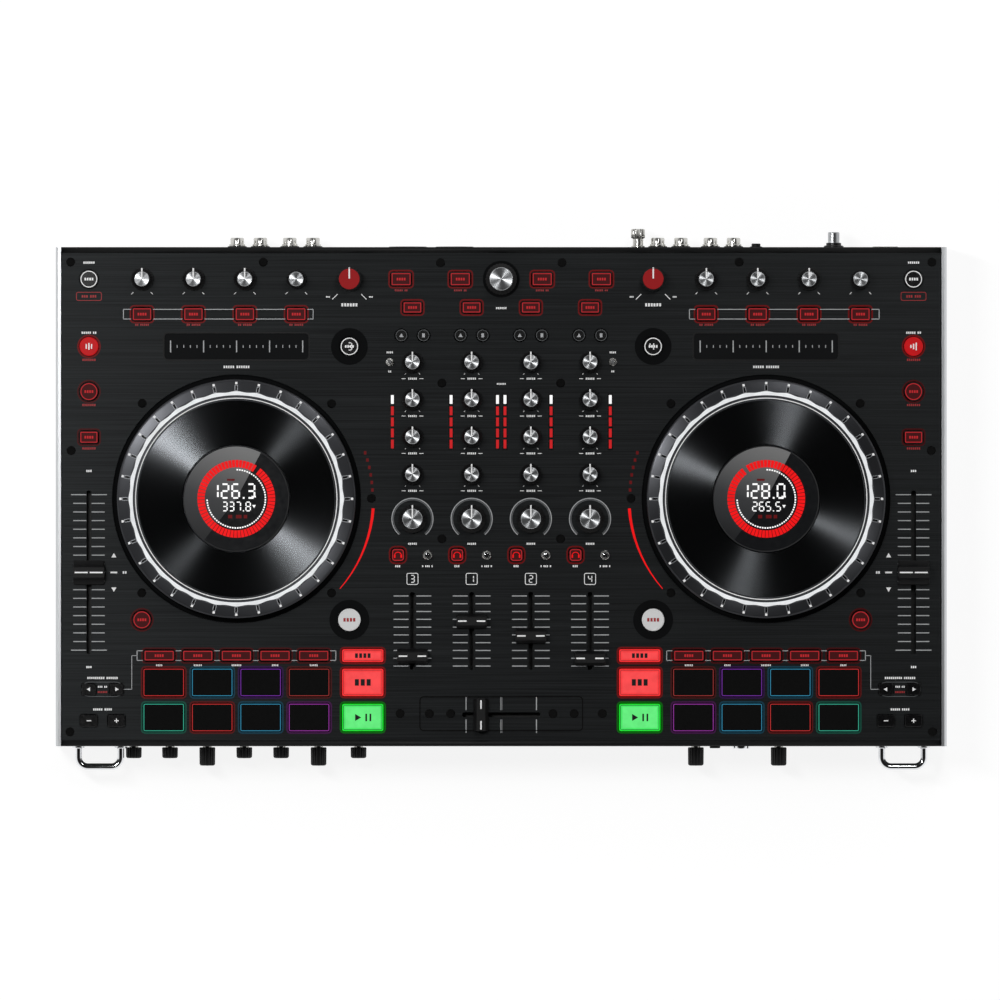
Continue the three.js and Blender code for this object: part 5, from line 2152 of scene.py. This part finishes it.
    def red_marks(self) -> None:
        """Red printed marks, and the brackets that tie buttons together."""
        shape = Shape()
        z = 0.0
        for side in Side:
            sign = side.value
            column = sign * PLAN.side_column
            shape.frame(Outline(column, 128.6, 16.4, 5.6, 1.2), 0.4, z, z + INK_THICKNESS, RED_INK)
            word(shape, column, 128.6, (3, 3), 1.6, z, RED_INK)
            for y in (PLAN.deck_row - 8.6, PLAN.skip_row - 8.6, PLAN.key_row - 7.2):
                word(shape, column, y, (7,), 1.4, z, RED_INK)
            word(shape, column, PLAN.deck_row + 8.8, (5, 2), 1.4, z, WHITE_INK)
            for effect in PLAN.effect_columns:
                word(shape, sign * effect, PLAN.effect_row - 6.8, (2, 5), 1.3, z, RED_INK)
            arcs = Shape((sign * PLAN.jog_column, PLAN.jog_row))
            if sign < 0:
                arcs.arc(88.0, (1.9, 0.5), -4, -37, z, z + THICK_INK, GLOW_RED)
            else:
                arcs.arc(88.0, (0.5, 1.9), 221, -37, z, z + THICK_INK, GLOW_RED)
            shape.join(arcs)
            for i in range(6):
                angle = math.radians(19 - i * 3.2)
                place = (
                    sign * (PLAN.jog_column - 87.4 * math.cos(angle)),
                    PLAN.jog_row + 87.4 * math.sin(angle),
                )
                shape.bar(place, (place[0], place[1] + 2.2), 1.6, z, z + INK_THICKNESS, DEEP_RED)
            effects, modes = PLAN.effect_columns, PLAN.mode_columns
            self.bracket(
                shape, sign, effects[0] + 12.0, effects[-1] - 10.8, PLAN.effect_row, effects, 13.0
            )
            self.bracket(shape, sign, modes[0] + 14.2, modes[-1] - 14.2, PLAN.mode_row, modes, 20.0)
            out = sign * (PLAN.mode_columns[0] + 14.2)
            corner = sign * (PLAN.mode_columns[0] + 17.6)
            shape.bar(
                (out, PLAN.mode_row), (corner, PLAN.mode_row), 0.4, z, z + INK_THICKNESS, GREY_INK
            )
            shape.bar(
                (corner, PLAN.mode_row),
                (corner, PLAN.parameter_row),
                0.4,
                z,
                z + INK_THICKNESS,
                GREY_INK,
            )
            shape.bar(
                (corner, PLAN.parameter_row),
                (sign * 242.6, PLAN.parameter_row),
                0.4,
                z,
                z + INK_THICKNESS,
                GREY_INK,
            )
        for x in PLAN.channel_columns:
            word(shape, x + math.copysign(7.3, x), PLAN.top_row - 7.2, (5, 2), 1.2, z, RED_INK)
        install(shape.make("red_printing"), "case", "brushed_panel")

    @staticmethod
    def bracket(
        shape: Shape,
        sign: int,
        outer: float,
        inner: float,
        y: float,
        columns: Sequence[float],
        width: float,
    ) -> None:
        """A grey bracket round a row of buttons, whose two lines are broken at each button.

        Args:
            shape: The shape that it is added to.
            sign: The sign of x there.
            outer: Where it ends on the outside.
            inner: Where it ends on the inside.
            y: The y of its middle.
            columns: Where the buttons stand.
            width: How wide the buttons are.
        """
        half = 3.1
        for column in (outer, inner):
            shape.bar((sign * column, y - half), (sign * column, y + half), 0.5, 0, 0.05, GREY_INK)
        stops = [outer] + [
            column + side * (width / 2 + 0.6) for column in columns for side in (1, -1)
        ] + [inner]
        for edge in (-half, half):
            for start, end in zip(stops[::2], stops[1::2]):
                shape.bar((sign * start, y + edge), (sign * end, y + edge), 0.5, 0, 0.05, GREY_INK)


@dataclass
class Handle:
    """A bent chrome rod that guards the front controls."""

    side: Side
    rod: float = 2.25
    bend: float = 6.0

    def build(self) -> None:
        """Builds the rod inside the box of its CAD node."""
        node = f"{self.side.word}_front_handle"
        low, high = box_of(node)
        left, right = low.x + self.rod, high.x - self.rod
        near, far, z = high.y, low.y + self.rod, (low.z + high.z) / 2
        bend = self.bend
        route = [Vector((left, near, z))]
        for x, start in ((left + bend, math.pi), (right - bend, 3 * QUARTER)):
            for i in range(13):
                at = polar((x, far + bend), bend, start + i / 12 * QUARTER)
                route.append(Vector((*at, z)))
        route.append(Vector((right, near, z)))
        rings = []
        for i, point in enumerate(route):
            along = (route[min(i + 1, len(route) - 1)] - route[max(i - 1, 0)]).normalized()
            side = along.cross(UP)
            around = [polar((0, 0), self.rod, TURN * k / 24) for k in range(24)]
            rings.append([tuple(point + side * out + UP * over) for out, over in around])
        shape = Shape()
        # The ring's points run clockwise about the rod's direction, so the rod is built backwards.
        shape.loft(rings[::-1], [CHROME] * (len(rings) - 1))
        for x in (left, right):
            flange = Shape((0, 0))
            flange.turned([(4.2, 0), (4.2, 0.8), (3.8, 1.2)], CHROME, 32)
            stand = Matrix.Translation((x, near - 0.1, z)) @ Matrix.Rotation(QUARTER, 4, "X")
            shape.join(flange, stand)
        install(shape.make(f"{node}_rod"), "case", "handle_chrome", node)


@dataclass
class Sockets:
    """What passes through the front and rear walls: sockets, knobs, post and buttons."""

    rca: tuple[float, ...] = (-169.85, -154.95, -136.05, -121.15, 100.65, 115.55, 134.55, 149.45)
    outputs: tuple[float, ...] = (-60.0, -30.0)
    short_knobs: tuple[float, ...] = (-236.4, -213.1, -165.3, -141.6, -91.8)
    long_knobs: tuple[float, ...] = (-189.1, -117.5, 125.2, 178.5)

    def build(self) -> None:
        """Builds the rear and the front bank."""
        self.bank("rear_jack_board", 1, self.rear(), "jack_metal")
        self.bank("front_control_bank", -1, self.front(), "knob_plastic")

    def bank(self, node: str, sign: int, parts: list[tuple[float, Shape]], slot: str) -> None:
        """Builds one wall's parts, in place of the CAD board behind the wall, which is hidden.

        Args:
            node: The CAD node that they stand for.
            sign: 1 for the rear wall, -1 for the front wall.
            parts: Rows of (x, shape), each shape turned about z, with z = 0 at the wall's outside.
            slot: The record's material slot.
        """
        wall = sign * PANEL_DEPTH / 2
        height = sum(corner.z for corner in box_of("front_control_bank")) / 2
        whole = Shape()
        for x, part in parts:
            # A part's z becomes the way out of the wall.
            turn = Matrix.Rotation(-sign * QUARTER, 4, "X")
            stand = Matrix.Translation((x, wall, height)) @ turn
            whole.join(part, stand)
        install(whole.make(f"{node}_parts"), "case", slot, node)

    def rear(self) -> list[tuple[float, Shape]]:
        """The rear wall's parts.

        Returns:
            Each part, with its x.
        """
        parts = []
        for i, x in enumerate(self.rca):
            rca = Shape()
            rca.turned([(6.2, 0.05), (6.2, 0.5), (5.8, 0.9)], BLACK_ABS, 32)
            rca.ringed(
                [
                    (5.2, 0.8),
                    (5.2, 1.9),
                    (4.9, 2.2),
                    (4.4, 2.3),
                    (4.4, 5.6),
                    (4.0, 6.3),
                    (3.3, 6.3),
                    (3.0, 5.9),
                    (3.0, 0.8),
                ],
                NICKEL,
                32,
            )
            rca.turned([(2.9, 0.8), (2.9, 5.0), (2.6, 5.2)], RED_ABS if i % 2 else WHITE_CAP, 24)
            rca.turned([(1.5, 5.1), (1.5, 5.3), (1.4, 5.35)], BLACK_RECESS_AND_SHADE, 16)
            parts.append((x, rca))
        for x in self.outputs:
            xlr = Shape()
            xlr.ringed(
                [
                    (12.2, 0.05),
                    (12.2, 0.45),
                    (11.8, 0.6),
                    (8.9, 0.6),
                    (8.6, 0.2),
                    (8.6, -10.0),
                    (12.0, -10.0),
                ],
                BLACK_ABS,
                48,
            )
            xlr.turned([(8.5, -10.6), (8.5, -10.1)], BLACK_RECESS_AND_SHADE, 32)
            for angle in (90, 210, 330):
                pin = Outline.circle(*polar((0, 0), 5, math.radians(angle)), 1.2, 12)
                xlr.tower(pin, [(0, -10.1), (0, -3.0), (0.6, -2.2)], GOLD_CONTACT)
            parts.append((x, xlr))
        post = Shape()
        post.turned([(4.4, 0.05), (4.4, 1.0), (3.4, 1.4), (3.4, 5.6), (4.2, 6.2)], NICKEL, 32)
        post.turned([(4.2, 6.0), (4.5, 6.6), (4.5, 11.2), (4.0, 12.0)], NICKEL, 72, 18, 0.4)
        parts.append((88.0, post))
        switch = Shape()
        switch.turned([(4.0, 0.05), (4.0, 0.6), (2.9, 0.8), (2.9, 2.2), (2.6, 2.6)], BLACK_ABS, 32)
        parts.append((163.9, switch))
        power = Shape()
        power.turned(
            [(6.4, 0.05), (6.4, 0.8), (5.9, 1.3), (4.9, 1.4), (4.8, 3.0), (4.0, 3.1)],
            BLACK_GLOSS,
            48,
        )
        power.turned([(3.7, 3.0), (3.7, 9.4), (3.2, 10.0)], CAP_METAL, 48)
        parts.append((213.9, power))
        usb = Shape()
        usb.frame(Outline(0, 0, 16.2, 16.8, 1.0), 1.1, 0.05, 0.6, NICKEL)
        usb.tower(Outline(0, 0, 13.6, 14.2, 0.4), [(0, -9.0), (0, -8.6)], BLACK_RECESS_AND_SHADE)
        for sign in (-1, 1):
            usb.tower(Outline(0, sign * 3.4, 11.2, 1.9, 0.2), [(0, -8.8), (0, -0.4)], WHITE_CAP)
            usb.tower(Outline(0, sign * 6.7, 14.0, 0.5, 0.1), [(0, -9.0), (0, 0.3)], NICKEL)
            usb.tower(Outline(sign * 6.7, 0, 0.5, 13.6, 0.1), [(0, -9.0), (0, 0.3)], NICKEL)
        usb.tower(Outline(0, 0, 13.4, 0.9, 0.2), [(0, -9.0), (0, 0.2)], NICKEL)
        parts.append((247.0, usb))
        return parts

    def front(self) -> list[tuple[float, Shape]]:
        """The front wall's parts.

        Returns:
            Each part, with its x.
        """
        parts = []
        for places, reach in ((self.short_knobs, 8.0), (self.long_knobs, 12.8)):
            for x in places:
                knob = Shape()
                knob.turned([(3.0, -2.0), (3.0, 1.4)], NICKEL, 24)
                knob.turned(
                    [(4.7, 1.0), (5.1, 1.4), (5.0, reach - 1.0), (4.4, reach - 0.2), (3.6, reach)],
                    BLACK_ABS,
                    72,
                    18,
                    0.35,
                )
                knob.bar((0, 0.6), (0, 3.6), 0.9, reach, reach + 0.05, WHITE_INK)
                parts.append((x, knob))
        phones = Shape()
        phones.ringed(
            [
                (5.6, 0.05),
                (5.6, 1.4),
                (5.2, 2.0),
                (3.7, 2.0),
                (3.3, 1.5),
                (3.3, -12.0),
                (5.4, -12.0),
            ],
            CHROME,
            36,
        )
        phones.turned([(3.2, -12.4), (3.2, -12.1)], BLACK_RECESS_AND_SHADE, 16)
        parts.append((154.3, phones))
        small = Shape()
        small.ringed(
            [(3.4, 0.05), (3.4, 1.2), (3.0, 1.6), (2.0, 1.6), (1.8, 1.3), (1.8, -8.0), (3.2, -8.0)],
            BLACK_ABS,
            32,
        )
        small.turned([(1.75, -8.4), (1.75, -8.1)], BLACK_RECESS_AND_SHADE, 12)
        parts.append((137.5, small))
        return parts


@dataclass
class Case:
    """The tray, side panels, boards and feet."""

    def build(self) -> None:
        """Dresses the CAD nodes that stay and builds the feet."""
        for node, finish in (
            ("bottom_tray", CASE_COAT),
            ("front_wall", CASE_COAT),
            ("rear_wall", CASE_COAT),
            ("left_side_panel", ALUMINIUM),
            ("right_side_panel", ALUMINIUM),
            ("main_circuit_board", BOARD_BLACK),
        ):
            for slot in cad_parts[node].material_slots:
                slot.material = finish.material()
        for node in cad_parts:
            if node.endswith("_foot"):
                self.foot(node)

    @staticmethod
    def foot(node: str) -> None:
        """A round rubber foot with a dished sole and a screw hole.

        Args:
            node: The CAD node that it stands for.
        """
        x, y = middle_of(node)
        low, high = (corner.z for corner in box_of(node))
        shape = Shape((x, y))
        shape.ringed(
            [
                (8.8, low),
                (9.4, low + 0.5),
                (9.9, high),
                (2.0, high),
                (2.0, low + 2.6),
                (4.4, low + 2.6),
                (4.6, low + 0.4),
                (5.0, low),
            ],
            FOOT_RUBBER,
            48,
        )
        install(shape.make(f"{node}_rubber"), "case", "foot_rubber", node)


SOFTBOX_DISTANCE = 2.2  # metres


@dataclass
class Studio:
    """A pale floor, a bright horizon, two softboxes and a long lens straight above."""

    distance: float = 15.0
    width: float = 0.642  # seen across the picture
    aim: Point = (-0.0008, -0.0003)

    def build(self) -> None:
        """Builds the floor, the lights and the camera."""
        self.floor()
        # The softboxes' directions set where the fans of light lie on turned and grooved pieces.
        self.softbox("upper left softbox", 150, 66, (0.12, 0.9), 15.0)
        self.softbox("upper right softbox", 60, 66, (0.12, 0.8), 5.5)
        self.sky()
        bpy.context.scene.view_settings.view_transform = "Standard"
        lens = bpy.data.cameras.new("camera")
        lens.sensor_width = 36.0
        lens.lens = lens.sensor_width * (self.distance - PANEL_ORIGIN.z) / self.width
        lens.clip_end = 2 * self.distance
        camera = bpy.data.objects.new("camera", lens)
        camera.location = (*self.aim, self.distance)
        bpy.context.collection.objects.link(camera)
        bpy.context.scene.camera = camera

    @staticmethod
    def sky() -> None:
        """A world that is white near the horizon and dark overhead, as a tented studio is."""
        world = bpy.data.worlds.new("studio")
        world.use_nodes = True
        tree = world.node_tree
        place = add_node(tree, "ShaderNodeTexCoord")
        split = add_node(tree, "ShaderNodeSeparateXYZ", {0: place.outputs["Generated"]})
        shade = ramp(tree, split.outputs["Z"], [(0.4, "#ffffff"), (0.75, "#161616")])
        tree.links.new(shade, tree.nodes["Background"].inputs["Color"])
        tree.nodes["Background"].inputs["Strength"].default_value = 1.0
        bpy.context.scene.world = world

    @staticmethod
    def floor() -> None:
        """A wide pale floor, lit a little from within, as a light table is."""
        mesh = bpy.data.meshes.new("floor")
        half = 6.0
        corners = [(-half, -half, 0), (half, -half, 0), (half, half, 0), (-half, half, 0)]
        mesh.from_pydata(corners, [], [(0, 1, 2, 3)])
        mesh.materials.append(LightTable("pale floor", "#f2f2f2", 0.9).material())
        floor = bpy.data.objects.new("floor", mesh)
        bpy.context.collection.objects.link(floor)

    @staticmethod
    def softbox(name: str, azimuth: float, elevation: float, size: Point, power: float) -> None:
        """A rectangular softbox that faces the object.

        Args:
            name: The lamp's name.
            azimuth: Its direction from the object, in degrees from x.
            elevation: Its height over the floor, in degrees.
            size: Its two sides, in metres.
            power: Its power, in watts.
        """
        lamp = bpy.data.lights.new(name, "AREA")
        lamp.shape = "RECTANGLE"
        lamp.size, lamp.size_y = size
        lamp.energy = power
        flat, up = polar((0, 0), SOFTBOX_DISTANCE, math.radians(elevation))
        place = Vector((*polar((0, 0), flat, math.radians(azimuth)), up))
        softbox = bpy.data.objects.new(name, lamp)
        softbox.location = place
        softbox.rotation_euler = place.to_track_quat("Z", "Y").to_euler()
        bpy.context.collection.objects.link(softbox)


def knobs() -> list[Knob]:
    """Every knob of the top panel.

    Returns:
        The knobs, ready to build.
    """
    made = [
        Knob("browse_knob", 10.2, 7.4, 15.5, 30, BLACK_ABS, CAP_METAL, False),
        Knob("booth_knob", 7.8, 6.6, 14.0, 20, BLACK_ABS, RED_ABS),
        Knob("master_knob", 7.8, 6.6, 14.0, 20, BLACK_ABS, RED_ABS),
    ]
    for i in range(1, 5):
        for band in ("gain", "treble", "mid", "bass"):
            made.append(Knob(f"{band}_knob_{i}", 7.0, 4.6, 12.5))
        made.append(Knob(f"filter_knob_{i}", 9.2, 6.4, 15.0))
        for side in Side:
            encoder = i == 4
            sizes = (6.4, 4.6, 13.0) if encoder else (7.4, 4.7, 13.0)
            made.append(Knob(f"{side.word}_effect_knob_{i}", *sizes, pointer=not encoder))
    return made


def faders() -> list[Fader]:
    """Every fader.

    Returns:
        The faders, ready to build.
    """
    made = [Fader(f"channel_fader_{i}", 19.6, 9.6, 8.5) for i in range(1, 5)]
    made.append(Fader("crossfader", 20.8, 9.6, 8.5, sideways=True))
    for side in Side:
        made.append(Fader(f"{side.word}_pitch_fader", 20.0, 15.4, 10.0, 7.0, pitch=True))
    return made


def main() -> None:
    """Builds every sub-assembly in order."""
    logging.basicConfig(level=logging.INFO, format="%(message)s")
    Studio().build()
    left, right, mixer = deck_caps(Side.LEFT), deck_caps(Side.RIGHT), mixer_caps()
    Case().build()
    TopPanel(left + right + mixer).build()
    ButtonField("left_deck_keymat", left).build()
    ButtonField("right_deck_keymat", right).build()
    ButtonField("mixer_keymat", mixer).build()
    Jog(Side.LEFT, "126.3", "337.8", 55.0).build()
    Jog(Side.RIGHT, "128.0", "265.5", 125.0).build()
    for part in (*knobs(), *faders(), Handle(Side.LEFT), Handle(Side.RIGHT), Sockets()):
        part.build()


if __name__ == "__main__":
    main()
